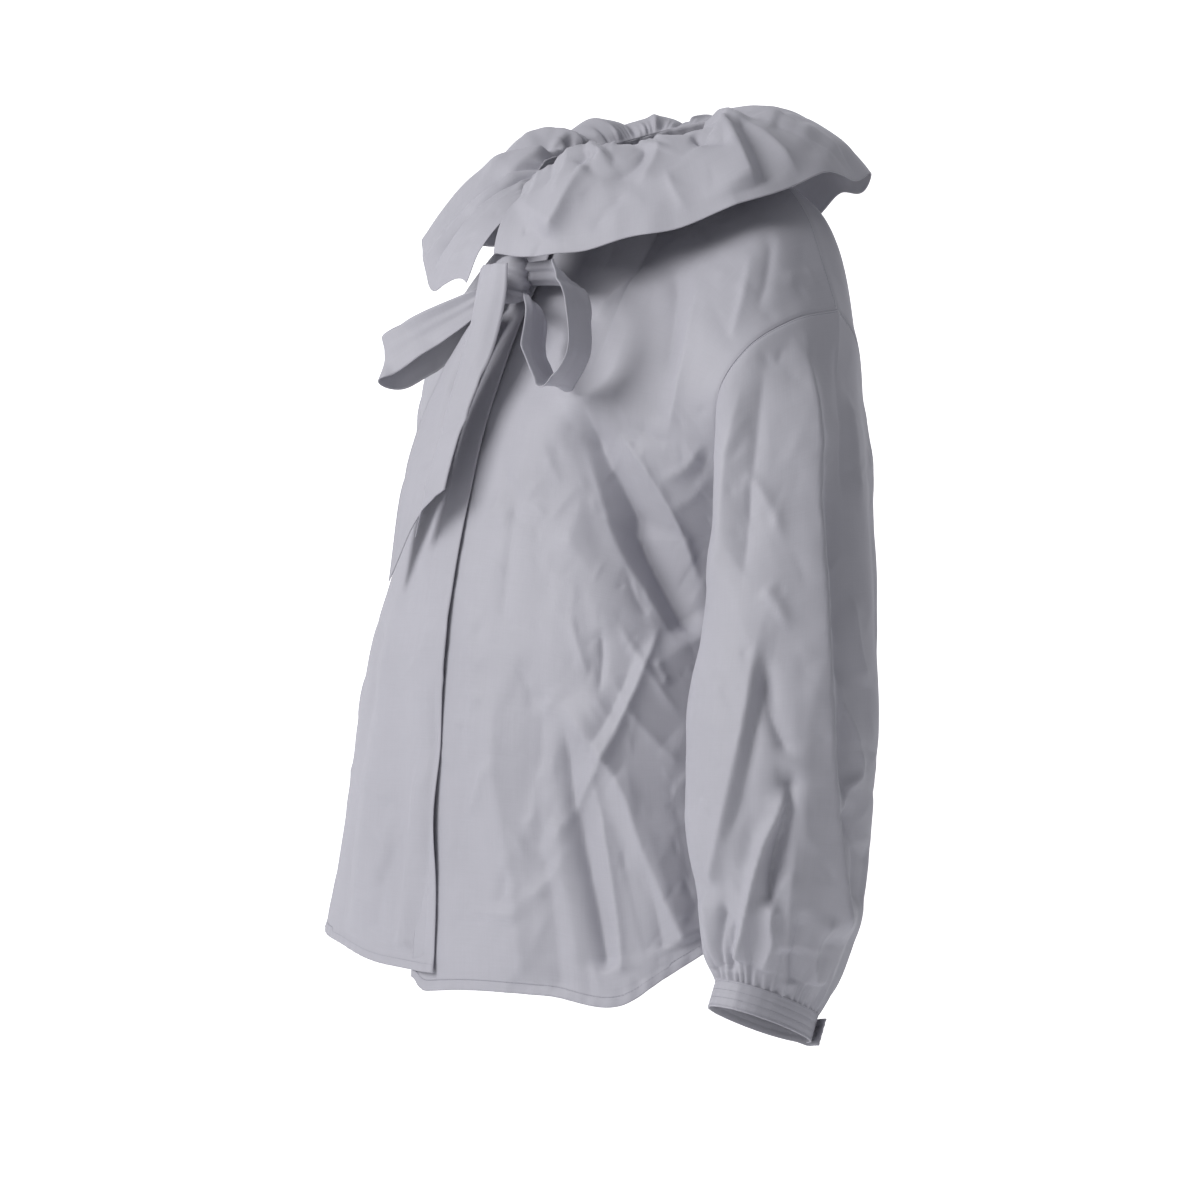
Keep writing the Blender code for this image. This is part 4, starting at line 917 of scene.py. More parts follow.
CLOTH = cloth_material("grey_lilac_poplin")
RIBBON = cloth_material("grey_lilac_ribbon", base=(0.38, 0.378, 0.422))
THREAD = plain_material("grey_thread", (0.30, 0.30, 0.35), 0.6, 0.2)
BUTTON = plain_material("grey_button", (0.46, 0.46, 0.53), 0.25)


def stitches(name, lines, pitch=0.0026, length=0.0019, wide=0.00042, lift=0.0):
    """Rows of machine stitches as small flat dashes along lines of points
    with normals."""
    verts, faces = [], []
    for points, normals in lines:
        run = np.linalg.norm(np.diff(points, axis=0), axis=1)
        far = np.concatenate([[0], np.cumsum(run)])
        for start in np.arange(pitch / 2, far[-1] - length, pitch):
            ends = []
            for at in (start, start + length):
                p = np.array([np.interp(at, far, points[:, k]) for k in range(3)])
                n = np.array([np.interp(at, far, normals[:, k]) for k in range(3)])
                ends.append((p, n / max(np.linalg.norm(n), 1e-9)))
            (p, n), (q, m) = ends
            ahead = q - p
            size = np.linalg.norm(ahead)
            if size < 1e-6:
                continue
            side = np.cross(n, ahead / size) * wide / 2
            high, low = n * (lift + 0.00013), n * (lift - 0.0002)
            base = len(verts)
            verts += [p - side + low, p + side + low, q + side + low, q - side + low,
                      p - side * 0.6 + high, p + side * 0.6 + high, q + side * 0.6 + high, q - side * 0.6 + high]
            faces += [(base + a, base + b, base + c, base + d) for a, b, c, d in
                      ((0, 3, 2, 1), (4, 5, 6, 7), (0, 1, 5, 4), (1, 2, 6, 5), (2, 3, 7, 6), (3, 0, 4, 7))]
    mesh = bpy.data.meshes.new(name)
    mesh.from_pydata([tuple(map(float, v)) for v in verts], [], faces)
    mesh.validate()
    mesh.materials.append(THREAD)
    obj = bpy.data.objects.new(name, mesh)
    bpy.context.scene.collection.objects.link(obj)
    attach(obj, "root")
    return obj


def seen(normals):
    """1 where cloth faces the photograph's side, 0 where it faces away."""
    return spread(normals @ TOWARD, -0.10, 0.22)


# ---------------------------------------------------------------- fronts
def edge_dip(distance, depth=0.0008, reach=0.0022):
    """The shallow valley in which a seam lies."""
    return -depth * np.exp(-(distance / reach) ** 2)


def grid_distance(points, side):
    """Distance of every grid point from the named side, along the grid."""
    axis = 0 if side in ("top", "bottom") else 1
    step = np.linalg.norm(np.diff(points, axis=axis), axis=-1)
    zero = np.zeros_like(points[:1, :, 0] if axis == 0 else points[:, :1, 0])
    far = np.concatenate([zero, np.cumsum(step, axis=axis)], axis=axis)
    if side in ("bottom", "end"):
        far = (far[-1:, :] if axis == 0 else far[:, -1:]) - far
    return far


def side_coordinates(points, mirror=False):
    """Metric coordinates for cloth that the picture doesn't show, on the
    scale of the picture's pixels."""
    x = points[..., 0] * (-1 if mirror else 1)
    return np.stack([x * 1250.0, -points[..., 2] * 1250.0], axis=-1)


def fine_front(side):
    rows = 262 if side > 0 else 200
    v = clustered(0, 1, rows, steps=(0.002, 0.0045))
    u = np.concatenate([clustered(0, 1, 48 if side > 0 else 40, False, False), clustered(1, 2, 112 if side > 0 else 84, False, True, (0.006, 0.016))[1:]])
    base = panel_points(side, True, u, v)
    lap_steps = np.linspace(-1, 0, 7)[:-1]
    lap = np.repeat(base[:, :1], len(lap_steps), axis=1)
    lap[..., 0] = side * (LAP * lap_steps)[None, :]
    lap[..., 1] += 0.0006 * -lap_steps[None, :]
    points = np.concatenate([lap, base], axis=1)
    vv = np.repeat(v[:, None], points.shape[1], axis=1)
    if side < 0:
        lift = 1 - ease(-0.004, 0.045, -points[..., 0])
        points[..., 1] -= LAP_LIFT * lift
        # the loose edge stands off between two fastenings
        bulge = np.exp(-((points[..., 2] + 0.525) / 0.036) ** 2) * (1 - spread(-points[..., 0], -0.014, 0.03))
        points[..., 1] -= 0.004 * bulge
        points[..., 0] -= 0.0045 * bulge
    else:
        # the lower corner of the under front is rounded
        corner = spread(-points[..., 0], -0.012, 0.016) * (vv > 0.9)
        points[..., 2] += 0.010 * corner ** 3 * spread(vv, 0.9, 1.0)
    normals = fine_normals(points) * (-1 if side > 0 else 1)
    outward = normals if (normals[60, 60] @ np.array((0.0, -1.0, 0.0))) > 0 else -normals
    xy = picture(points)
    if side > 0:
        height = drawn(xy, FRONT_LINES) * 1.5 + 0.35 * creased(xy, FRONT_LEFT_CREASES, 1.4)
        height += crumple(xy, 11, 150, (440, 400), (720, 1000), depth=1.0)
        height += crumple(xy, 13, 170, (440, 440), (720, 1000), size=0.5, depth=0.55)
        height += crumple(xy, 12, 60, (560, 220), (830, 440), depth=0.8)
    else:
        height = drawn(xy, RIGHT_LINES) * 1.5 * seen(outward)
        hidden = side_coordinates(points, True)
        show = seen(outward)
        height += crumple(xy, 21, 40, (320, 480), (450, 960), depth=0.9) * show
        height += (1.3 * creased(hidden, HIDDEN_FRONT, 1.4) + crumple(hidden, 22, 130, (20, 200), (300, 800), depth=1.2)) * (1 - show)
    height += waves(side_coordinates(points), 5 + side, 150, 0.0022, (1.0, 0.55))
    # the cloth is held still along its seams, the neck and the shoulder
    held = spread(grid_distance(points, "top"), 0.0, 0.03) * spread(grid_distance(points, "end"), 0.0, 0.02)
    height = height * held
    height += edge_dip(grid_distance(points, "top")) + edge_dip(grid_distance(points, "end"))
    # narrow turned hem: a ridge of three layers, slightly puckered
    below = grid_distance(points, "bottom")
    pucker = np.sin(points[..., 0] * 620 + 1.3 * np.sin(points[..., 0] * 90)) * 0.00035
    height += 0.0004 * (1 - spread(below, 0.0065, 0.008)) + pucker * (1 - spread(below, 0.0, 0.016))
    if side < 0:
        # placket: its inner stitching pulls a shallow line 2.4 cm from the edge
        from_edge = grid_distance(points, "start")
        height += -0.0005 * np.exp(-((from_edge - 0.030) / 0.003) ** 2)
    points = points + outward * height[..., None]
    if side < 0:
        # nothing of the upper front reaches the lower one
        points[..., 1] -= 0.0008 * (1 - spread(-points[..., 0], 0.0, 0.03))
    points = seam_inset(points, ("top", "end"))
    hem = 1 - spread(grid_distance(points, "bottom"), 0.0068, 0.0078)
    thick = CLOTH_THICK + 0.0006 * hem
    return points, outward, thick


def seam_inset(points, sides):
    out = points.copy()
    for side in sides:
        edge, inner = {"top": (np.s_[0, :], np.s_[3, :]), "bottom": (np.s_[-1, :], np.s_[-4, :]),
                       "start": (np.s_[:, 0], np.s_[:, 3]), "end": (np.s_[:, -1], np.s_[:, -4])}[side]
        out[edge] = out[edge] + unit(out[inner] - out[edge]) * SEAM_GAP
    return out


HIDDEN_FRONT = columns(STROKE, [
    (90, 250, 140, 360, 215, 480, 26, 32, -9.0, 0.25),
    (60, 300, 100, 420, 180, 560, 22, 20, 3.5, 0.30),
    (230, 470, 180, 560, 120, 680, 10, 12, 2.2, 0.30),
    (120, 600, 134, 700, 150, 810, 12, 26, -5.0, 0.30),
    (170, 600, 190, 700, 205, 790, 20, 16, 4.0, 0.30),
    (216, 560, 236, 660, 250, 760, 14, 16, -3.0, 0.30),
    (150, 120, 160, 200, 176, 280, 22, 20, 2.6, 0.35),
])
BACK_CREASES = columns(STROKE, [
    # soft folds from the shoulder blades to the hem, uneven on purpose
    (-110, 90, -128, 330, -150, 800, 30, 34, 7.0, 0.22),
    (-62, 160, -70, 420, -84, 800, 22, 30, -7.5, 0.25),
    (-10, 60, -4, 380, 6, 800, 34, 30, 5.5, 0.25),
    (58, 130, 70, 400, 78, 800, 26, 24, -6.5, 0.25),
    (120, 100, 136, 360, 158, 790, 30, 30, 6.5, 0.22),
    (178, 260, 194, 500, 212, 780, 18, 24, -5.0, 0.25),
    (-186, 280, -196, 520, -216, 780, 20, 18, -5.0, 0.25),
    (-226, 420, -240, 600, -262, 770, 16, 16, 3.6, 0.30),
    (230, 420, 244, 600, 262, 770, 16, 16, 3.2, 0.30),
    # drag lines from the armholes and crossing creases
    (226, 250, 150, 300, 80, 330, 12, 14, 2.6, 0.35),
    (-226, 240, -160, 310, -70, 352, 12, 14, 2.8, 0.35),
    (-214, 330, -150, 400, -96, 480, 10, 14, -2.4, 0.35),
    (210, 330, 160, 410, 92, 500, 12, 12, -2.2, 0.35),
    (140, 480, 80, 570, -10, 660, 10, 9, 1.8, 0.35),
    (-120, 520, -60, 600, 30, 690, 9, 10, 1.8, 0.35),
    (-150, 60, -120, 110, -60, 150, 12, 14, 1.6, 0.35),
    (150, 60, 118, 112, 56, 150, 12, 14, 1.6, 0.35),
])


def fine_back():
    v = clustered(0, 1, 176, steps=(0.002, 0.0045))
    u = np.concatenate([clustered(0, 1, 34, False, False), clustered(1, 2, 74, False, True, (0.006, 0.016))[1:]])
    left = panel_points(1, False, u, v)
    right = panel_points(-1, False, u, v)
    points = np.concatenate([right[:, ::-1], left[:, 1:]], axis=1)
    normals = fine_normals(points)
    middle = points.shape[1] // 2
    outward = normals if normals[60, middle][1] > 0 else -normals
    xy = side_coordinates(points)
    height = creased(xy, BACK_CREASES, 1.6)
    height += crumple(xy, 31, 170, (-270, 20), (270, 800), depth=1.1)
    height += waves(xy, 33, 150, 0.0022, (1.0, 0.5))
    held = (spread(grid_distance(points, "top"), 0.0, 0.035) * spread(grid_distance(points, "end"), 0.0, 0.02)
            * spread(grid_distance(points, "start"), 0.0, 0.02))
    height = height * held
    for side in ("top", "end", "start"):
        height += edge_dip(grid_distance(points, side))
    below = grid_distance(points, "bottom")
    pucker = np.sin(points[..., 0] * 600 + 1.1 * np.sin(points[..., 0] * 80)) * 0.00035
    height += 0.0004 * (1 - spread(below, 0.0065, 0.008)) + pucker * (1 - spread(below, 0.0, 0.016))
    points = points + outward * height[..., None]
    points = seam_inset(points, ("top", "start", "end"))
    hem = 1 - spread(grid_distance(points, "bottom"), 0.0068, 0.0078)
    return points, outward, CLOTH_THICK + 0.0006 * hem


# ---------------------------------------------------------------- sleeves
# Gathers above the cuff: place round the sleeve in degrees (0 outside, 90 in
# front, 180 against the body, 270 behind), half width in degrees, depth in
# millimetres, and how far up the sleeve each reaches (0 cuff, 1 shoulder).
GATHERS_LEFT = table(
    "turn  half  depth  reach",
    (6.0,   8.0, -9.0, 0.30),
    (17.0,  7.0,  6.0, 0.40),
    (30.0,  7.0, -8.0, 0.22),
    (41.0,  8.0,  6.5, 0.34),
    (53.0,  6.0, -9.0, 0.40),
    (63.0,  6.0,  5.0, 0.20),
    (73.0,  6.0, -7.0, 0.28),
    (84.0,  7.0,  5.5, 0.24),
    (95.0,  7.0, -6.0, 0.18),
    (110.0, 9.0,  5.0, 0.26),
    (126.0, 9.0, -7.0, 0.24),
    (143.0, 9.0,  5.0, 0.22),
    (160.0, 9.0, -6.0, 0.26),
    (178.0, 9.0,  5.0, 0.22),
    (196.0, 9.0, -7.0, 0.30),
    (214.0, 9.0,  6.0, 0.24),
    (231.0, 8.0, -7.0, 0.26),
    (247.0, 8.0,  5.5, 0.34),
    (262.0, 8.0, -8.0, 0.28),
    (278.0, 8.0,  6.0, 0.24),
    (293.0, 7.0, -7.0, 0.36),
    (307.0, 7.0,  6.0, 0.26),
    (321.0, 7.0, -8.0, 0.30),
    (334.0, 7.0,  5.5, 0.24),
    (348.0, 7.0,  5.0, 0.44),
)
SLEEVE_BACK_CREASES = columns(STROKE, [
    # across is the place round the sleeve in degrees, down the drop below the
    # shoulder in picture-like pixels
    (215, 150, 228, 330, 222, 540, 14, 18, 4.2, 0.25),
    (250, 120, 258, 300, 262, 520, 16, 12, -3.8, 0.25),
    (290, 110, 286, 300, 296, 560, 16, 14, 4.0, 0.25),
    (325, 140, 330, 340, 322, 540, 12, 14, -3.4, 0.25),
    (170, 200, 176, 360, 168, 540, 14, 14, 3.2, 0.30),
    (130, 160, 124, 300, 132, 480, 12, 12, -2.6, 0.30),
    (236, 250, 262, 300, 292, 360, 8, 10, 1.8, 0.35),
    (280, 380, 256, 430, 232, 500, 8, 10, 1.8, 0.35),
    (200, 380, 220, 430, 246, 470, 8, 8, 1.6, 0.35),
])
SLEEVE_RIGHT_CREASES = columns(STROKE, [
    (20, 120, 24, 300, 14, 520, 16, 18, 4.4, 0.22),
    (48, 130, 56, 320, 50, 540, 12, 18, -4.0, 0.25),
    (84, 150, 78, 330, 90, 520, 16, 14, 3.8, 0.25),
    (116, 140, 122, 300, 112, 480, 14, 14, -3.2, 0.28),
    (350, 110, 344, 300, 352, 520, 14, 16, -4.0, 0.22),
    (40, 250, 66, 300, 96, 350, 8, 9, 1.8, 0.35),
    (80, 380, 58, 440, 30, 490, 8, 9, 1.8, 0.35),
    (6, 300, 30, 352, 52, 420, 8, 8, 1.6, 0.35),
])


def fine_sleeve(side):
    rows = SLEEVE_LEFT if side > 0 else SLEEVE_RIGHT
    half = 100 if side > 0 else 84
    v = np.linspace(0, UNDERARM, half + 1)
    front = read_edge(FRONT_EDGE_LEFT if side > 0 else FRONT_EDGE_RIGHT, "x y z", v)
    back = read_edge(BACK_EDGE_LEFT if side > 0 else BACK_EDGE_RIGHT, "x y z", v)
    loop = np.concatenate([front, back[::-1][1:-1]])
    around = np.linspace(0, 2 * math.pi, len(loop), endpoint=False)
    places = np.unique(np.round(np.concatenate([np.linspace(0, 0.9, 180 if side > 0 else 140), np.linspace(0.9, 1, 33 if side > 0 else 25), [0.003, 0.007, 0.985, 0.990, 0.994, 0.9975]]), 6))
    base_ring = sleeve_ring(side, rows, 0.0, around)
    rings = []
    for t in places:
        target = sleeve_ring(side, rows, t, around)
        start = loop + (target - base_ring)
        start[:, 0] += side * 0.013 * float(ease(0.0, 0.10, t)) * np.clip(-np.cos(around), 0, 1)
        mix = float(ease(0.0, 0.42, t))
        rings.append(start * (1 - mix) + target * mix)
    points = np.array(rings)
    under = np.clip(-np.cos(around), 0, 1) ** 4
    near_top = (1 - spread(places, 0.0, 0.03))[:, None, None]
    points = points + near_top * under[None, :, None] * np.array((side * 0.0016, 0.0, -0.0006))
    centre = points.mean(axis=1, keepdims=True)
    normals = fine_normals(points, True)
    outward = np.where(((points - centre) * normals).sum(-1, keepdims=True).mean() > 0, normals, -normals)
    turn = np.degrees(around)
    up = 1 - places                                   # 0 at the cuff, 1 at the shoulder
    # gathers
    rim = np.zeros(points.shape[:2])
    near_show = seen(outward)
    shift = 0.0 if side > 0 else 11.0
    for k in range(len(GATHERS_LEFT["turn"])):
        g = {n: GATHERS_LEFT[n][k] for n in GATHERS_LEFT}
        angle = g["turn"] * (1 if side > 0 else -1) + shift
        reach = g["reach"] * (1.0 if side > 0 else (0.8 + 0.5 * ((k * 7) % 5) / 5))
        wander = angle + 7.0 * np.sin(up * 9 + k) * up
        d = (turn[None, :] - wander[:, None] + 180) % 360 - 180
        wide = g["half"] * (1 + 1.6 * up / max(reach, 0.05))
        run = spread(up, 0.002, 0.05) * (1 - spread(up, 0.45 * reach, reach * 1.5)) + 0.16 * (1 - spread(up, 0.0, 0.05))
        mine = 1.0 if side < 0 else 1.0 - 0.75 * near_show
        rim += (g["depth"] * 0.00105 * run)[:, None] * np.exp(-(np.abs(d) / wide[:, None]) ** 1.7) * mine
    # close pleats right at the cuff seam
    count = 38 if side > 0 else 34
    wave = np.radians(turn) * count + 1.6 * np.sin(np.radians(turn) * 5 + 1) + 0.9 * np.sin(np.radians(turn) * 11)
    fine = 1 - 2 * np.abs(np.sin(wave / 2)) ** 0.8
    tall = 0.030 + 0.016 * np.sin(np.radians(turn) * 13 + 1.7) + 0.008 * np.sin(np.radians(turn) * 29)
    rim += 0.0015 * fine[None, :] * spread(up, -0.003, 0.004)[:, None] * (1 - spread(up[:, None] / tall[None, :], 0.25, 1.9))
    xy = picture(points)
    level = np.stack([np.broadcast_to(turn[None, :], points.shape[:2]), -points[..., 2] * 1250.0], axis=-1)
    show = seen(outward)
    held = spread(places, 0.0, 0.06)[:, None] * (0.25 + 0.75 * spread(up, 0.0, 0.06))[:, None]
    if side > 0:
        height = (drawn(xy, SLEEVE_LINES, 0.6, 1.15) * 1.6 + 0.25 * creased(xy, SLEEVE_LEFT_CREASES, 1.3)) * show
        height += (crumple(xy, 41, 100, (690, 330), (880, 900), depth=0.9) + crumple(xy, 42, 100, (690, 330), (880, 960), size=0.5, depth=0.5)) * show
        height += (creased(level, SLEEVE_BACK_CREASES, 1.6) + crumple(level, 43, 80, (120, 150), (350, 700), depth=1.0)) * (1 - show)
    else:
        height = creased(level, SLEEVE_RIGHT_CREASES, 1.6) + creased(level, SLEEVE_BACK_CREASES, 1.6)
        height += crumple(level, 44, 150, (0, 130), (360, 700), depth=1.0)
        seam = np.minimum(turn, 360 - turn)
        height *= 0.35 + 0.65 * spread(seam, 0, 12)[None, :]
    height += waves(xy, 47 + side, 120, 0.0016) * spread(np.minimum(turn, 360 - turn), 0, 25)[None, :]
    height = height * held
    height += edge_dip(grid_distance(points, "top"), 0.0008, 0.0024)
    points = points + outward * (height + rim)[..., None]
    points[0] += unit(points[3] - points[0]) * SEAM_GAP
    tucked = points[-1] + unit(points[-1].mean(0) - points[-1]) * 0.0009 + unit(np.array((0.0, -FOREARM_LEAN, -1.0))) * 0.0024
    points = np.concatenate([points, tucked[None]])
    outward = np.concatenate([outward, outward[-1:]])
    return points, outward


def fine_cuff(side):
    rows = SLEEVE_LEFT if side > 0 else SLEEVE_RIGHT
    count = 150
    around = np.linspace(0, 2 * math.pi, count, endpoint=False)
    ring = sleeve_ring(side, rows, 1.0, around)
    start = int(round(count * 0.80))
    order = [(start + k) % count for k in range(count + 1)]
    line = ring[order]
    middle = ring.mean(axis=0)
    ahead = unit(line[1:2] - line[0:1])
    extra = line[0:1] + ahead * np.linspace(0, CUFF_LAP, 13)[1:, None]
    line = np.concatenate([line, extra])
    outward = unit(line - middle)
    far = np.arange(len(line))
    lap = spread(far, count - 12, count - 1)
    outward_shift = 0.0024 * lap - 0.0006 * (1 - spread(far, 0, 8))
    line = line + outward * outward_shift[:, None]
    down = unit(np.array((0.0, -FOREARM_LEAN, -1.0)))
    line = line + down * (0.0014 * lap)[:, None]
    steps = np.unique(np.round(np.concatenate([np.linspace(0, 1, 15), [0.03, 0.97]]), 4))
    points = np.array([line + down * CUFF_HEIGHT * s for s in steps])
    # quilted between its rows of topstitching
    rows_at = np.array(CUFF_ROWS)
    s = steps[:, None]
    valley = np.exp(-((s - rows_at[None, :]) / 0.05) ** 2).sum(1)
    ripple = 0.00018 * np.sin(far * 0.9) * np.sin(far * 0.23 + 1)
    height = -0.00035 * valley[:, None] + ripple[None, :]
    out = np.broadcast_to(outward[None], points.shape)
    points = points + out * height[..., None]
    points[0] += down * SEAM_GAP
    return points, out.copy()


CUFF_ROWS = (0.12, 0.36, 0.62, 0.88)


# ---------------------------------------------------------------- collar
# Gathers of the frill: place round the neck in degrees from the left of the
# centre front, half width at the seam and at the rim in degrees, height in
# millimetres, and how far out each one reaches (1 is the rim).
FRILL_GATHERS = table(
    "angle  half_in half_out height reach",
    (9.0,   1.6,  7.0,  4.0, 0.60),
    (17.0,  1.5,  6.0, -4.0, 0.50),
    (25.0,  1.5,  8.0,  4.5, 0.75),
    (33.0,  1.6,  7.0, -4.5, 0.45),
    (44.0,  1.8,  9.0,  4.0, 0.60),
    (54.0,  1.8,  8.0, -5.0, 0.42),
    (66.0,  1.6,  9.0,  4.0, 0.55),
    (76.0,  1.6,  8.0, -4.5, 0.50),
    (97.0,  1.8,  7.0,  6.0, 0.60),
    (106.0, 1.8,  7.0, -5.0, 0.80),
    (118.0, 1.8,  9.0,  5.0, 0.85),
    (131.0, 2.0,  9.0, -5.0, 0.80),
    (145.0, 2.0,  9.0,  5.5, 0.90),
    (158.0, 1.8,  8.0, -5.0, 0.85),
    (171.0, 1.8,  8.0,  5.5, 0.95),
    (184.0, 1.8,  8.0, -6.0, 0.90),
    (197.0, 2.0,  9.0,  5.0, 0.95),
    (210.0, 2.0,  8.0, -5.5, 0.85),
    (223.0, 2.0,  9.0,  6.0, 0.95),
    (237.0, 2.0,  8.0, -5.0, 0.85),
    (250.0, 2.0,  9.0,  5.0, 0.90),
    (263.0, 2.0,  8.0, -5.0, 0.75),
    (275.0, 2.0,  8.0,  5.5, 0.95),
    (288.0, 2.0,  8.0, -5.0, 0.70),
    (300.0, 2.0,  8.0,  5.0, 0.90),
    (312.0, 2.0,  8.0, -6.0, 0.80),
    (325.0, 1.8,  7.0,  5.0, 1.00),
    (338.0, 1.8,  6.0, -5.0, 0.90),
    (350.0, 1.6,  6.0,  3.0, 0.80),
)


def fine_frill():
    angles = clustered(0.0, 360.0, 600, True, True, (0.25, 0.5))
    places = np.unique(np.round(np.concatenate([np.linspace(0, 1, 47), [0.01, 0.985, 0.993]]), 5))
    seam = smooth_neck("top", angles)
    mid = read(FRILL, "angle", "mid_x mid_y mid_z", angles)
    rim = read(FRILL, "angle", "rim_x rim_y rim_z", angles)
    grip = 2 * mid - (seam + rim) / 2
    grip = grip * 0.75 + mid * 0.25
    t = places[:, None, None]
    points = seam[None] * (1 - t) ** 2 + grip[None] * 2 * t * (1 - t) + rim[None] * t * t
    wave = np.cos(np.radians(angles) * 13.0 + 1.1) * 0.0055 + np.cos(np.radians(angles) * 7.0) * 0.003
    wave *= 0.22 + 0.68 * spread(angles, 92, 125)
    points[..., 2] += (places ** 1.3)[:, None] * wave[None, :]
    # the right wing swells by the throat, the left one puffs up at its seam
    # by the centre front
    far_wing = spread(angles, 262, 290) * (1 - spread(angles, 322, 345))
    points[..., 2] += 0.0042 * far_wing[None, :] * np.sin(np.clip(places / 0.95, 0, 1) * math.pi)[:, None] ** 0.8
    puff = 1 - spread(angles, 26, 50)
    hump = np.exp(-((places - 0.13) / 0.11) ** 2) * spread(places, 0, 0.05)
    points[..., 2] += 0.0125 * puff[None, :] * hump[:, None]
    points[..., 0] -= 0.006 * puff[None, :] * hump[:, None]
    tip = spread(angles, 344, 358)[None, :] * np.sin(places * math.pi * 0.78)[:, None]
    points = points + (RIGHT * 0.0095)[None, None] * tip[..., None]
    normals = fine_normals(points)
    outward = normals if normals[20, 150][2] > 0 else -normals
    # the end of the right wing turns back on itself as a flap
    down = spread(places, 0.03, 0.14)
    pocket = np.exp(-((angles - 331.0) / np.where(angles < 331.0, 7.0, 2.4)) ** 2)
    flap = spread(angles, 332.5, 336.5)
    low_rim = 1 - spread(places, 0.6, 0.97)
    height = down[:, None] * (-0.0130 * pocket[None, :] * low_rim[:, None] + 0.0040 * flap[None, :] * (1 - 0.8 * spread(places, 0.75, 1.0))[:, None])
    for k in range(len(FRILL_GATHERS["angle"])):
        g = {n: FRILL_GATHERS[n][k] for n in FRILL_GATHERS}
        half = g["half_in"] + (g["half_out"] - g["half_in"]) * places
        run = spread(places, 0.0, 0.07) * (1 - 0.92 * spread(places, 0.35 * g["reach"], g["reach"] * 1.2))
        d = angles[None, :] - (g["angle"] + 2.0 * np.sin(places * 3 + k) * places)[:, None]
        scale = 0.35 if g["angle"] < 92 else (0.6 if 140 < g["angle"] < 262 else 0.8)
        scale = 0.0 if g["angle"] > 318 else scale
        height += (g["height"] * 0.00125 * scale * run)[:, None] * np.exp(-(np.abs(d) / half[:, None]) ** 1.5)
    # close gathers at the seam
    rng = np.random.default_rng(61)
    for _ in range(170):
        a = rng.uniform(0, 360)
        reach = rng.uniform(0.08, 0.30)
        run = spread(places, 0.0, 0.035) * (1 - spread(places, 0.25 * reach, reach))
        half = rng.uniform(0.5, 1.3) * (1 + 3.0 * places)
        lean = rng.uniform(-10, 10)
        d = angles[None, :] - (a + lean * places)[:, None]
        height += (rng.choice((-1, 1)) * rng.uniform(0.5, 1.4) * 0.001 * run)[:, None] * np.exp(-(np.abs(d) / half[:, None]) ** 1.6)
    xy = picture(points)
    near_wing = 1 - spread(np.abs(angles - 70), 62, 85)
    far_end = spread(angles, 262, 285)
    height += 1.3 * drawn(xy, FRILL_LINES, 0.7) * near_wing[None, :] * spread(outward @ TOWARD, -0.3, 0.0)
    height += 1.3 * drawn(xy, FAR_LINES, 0.7) * far_end[None, :] * (1 - 0.85 * spread(places, 0.80, 1.0))[:, None]
    metric = np.stack([np.broadcast_to(angles[None, :] * 2.6, points.shape[:2]),
                       np.broadcast_to(places[:, None] * 170, points.shape[:2])], axis=-1)
    ends = spread(angles, 2, 12) * spread(358 - angles, 0, 10)
    height += crumple(metric, 63, 110, (0, 10), (936, 170), size=0.6, depth=0.8, upright=0.4) * ends[None, :]
    height += waves(metric, 64, 120, 0.0016)
    height *= (spread(places, 0.0, 0.02))[:, None]
    points = points + outward * height[..., None]
    points[0] += unit(points[3] - points[0]) * SEAM_GAP
    return points, outward


def smooth_neck(which, angles):
    """The neck's seam line as one smooth curve round both sides."""
    a = np.where(angles <= 180, angles, 360 - angles)
    points = read(NECK, "angle", f"{which}_x {which}_y {which}_z", a)
    points[..., 0] *= np.where(angles <= 180, 1, -1)
    return points


def fine_band():
    angles = np.linspace(0, 360, 241)
    low, top = smooth_neck("low", angles), smooth_neck("top", angles)
    rows = np.linspace(0, 1, 9)
    points = top[None] * (1 - rows)[:, None, None] + low[None] * rows[:, None, None]
    normals = fine_normals(points)
    centre = points.mean(axis=(0, 1))
    outward = normals if ((points - centre) * normals).sum(-1).mean() > 0 else -normals
    height = 0.0006 * np.sin(rows * math.pi)[:, None] + 0.0005 * np.sin(np.radians(angles) * 31)[None, :] * (1 - rows)[:, None]
    points = points + outward * height[..., None]
    points = seam_inset(points, ("top", "bottom"))
    return points, outward


# ---------------------------------------------------------------- bow
def fine_ribbon(rows, lengthwise, across=18, cut=0.0, curl=0.0, creases=(), flip=False):
    side = np.linspace(-1, 1, across + 1)
    grid = []
    for w in side:
        t = np.linspace(0, 1, lengthwise + 1) * (1 - cut * (w + 1) / 2)
        middle = read(rows, "t", "x y z", t)
        wide = unit(read(rows, "t", "wide_x wide_y wide_z", t))
        run = unit(np.gradient(middle, axis=0))
        wide = unit(wide - (wide * run).sum(-1, keepdims=True) * run)
        out = np.cross(run, wide)
        width = smooth(rows["t"], rows["width"], t)[:, None]
        fold = smooth(rows["t"], rows["fold"], t)[:, None]
        rise = fold * (1 - (math.sqrt(w * w + 0.01) - 0.1) / 0.905) * (-1 if flip else 1)
        rise = rise + curl * np.sin(t * 9 + w * 2)[:, None] * 0.5
        for at, reach, depth, lean in creases:
            rise = rise + (depth * 0.001 * np.exp(-(np.abs(t - at - lean * w) / reach) ** 1.4))[:, None]
        for k, (place, spreadw, depth) in enumerate(((-0.45, 0.25, 1.4), (0.15, 0.2, -1.6), (0.55, 0.22, 1.3))):
            ends = np.exp(-t / 0.22) + np.exp(-(1 - t) / 0.22) * (1 if cut == 0 else 0)
            rise = rise + (depth * 0.001 * np.exp(-((w - place) / spreadw) ** 2) * ends)[:, None]
        grid.append(middle + wide * width * w / 2 + out * rise)
    return np.array(grid).transpose(1, 0, 2)


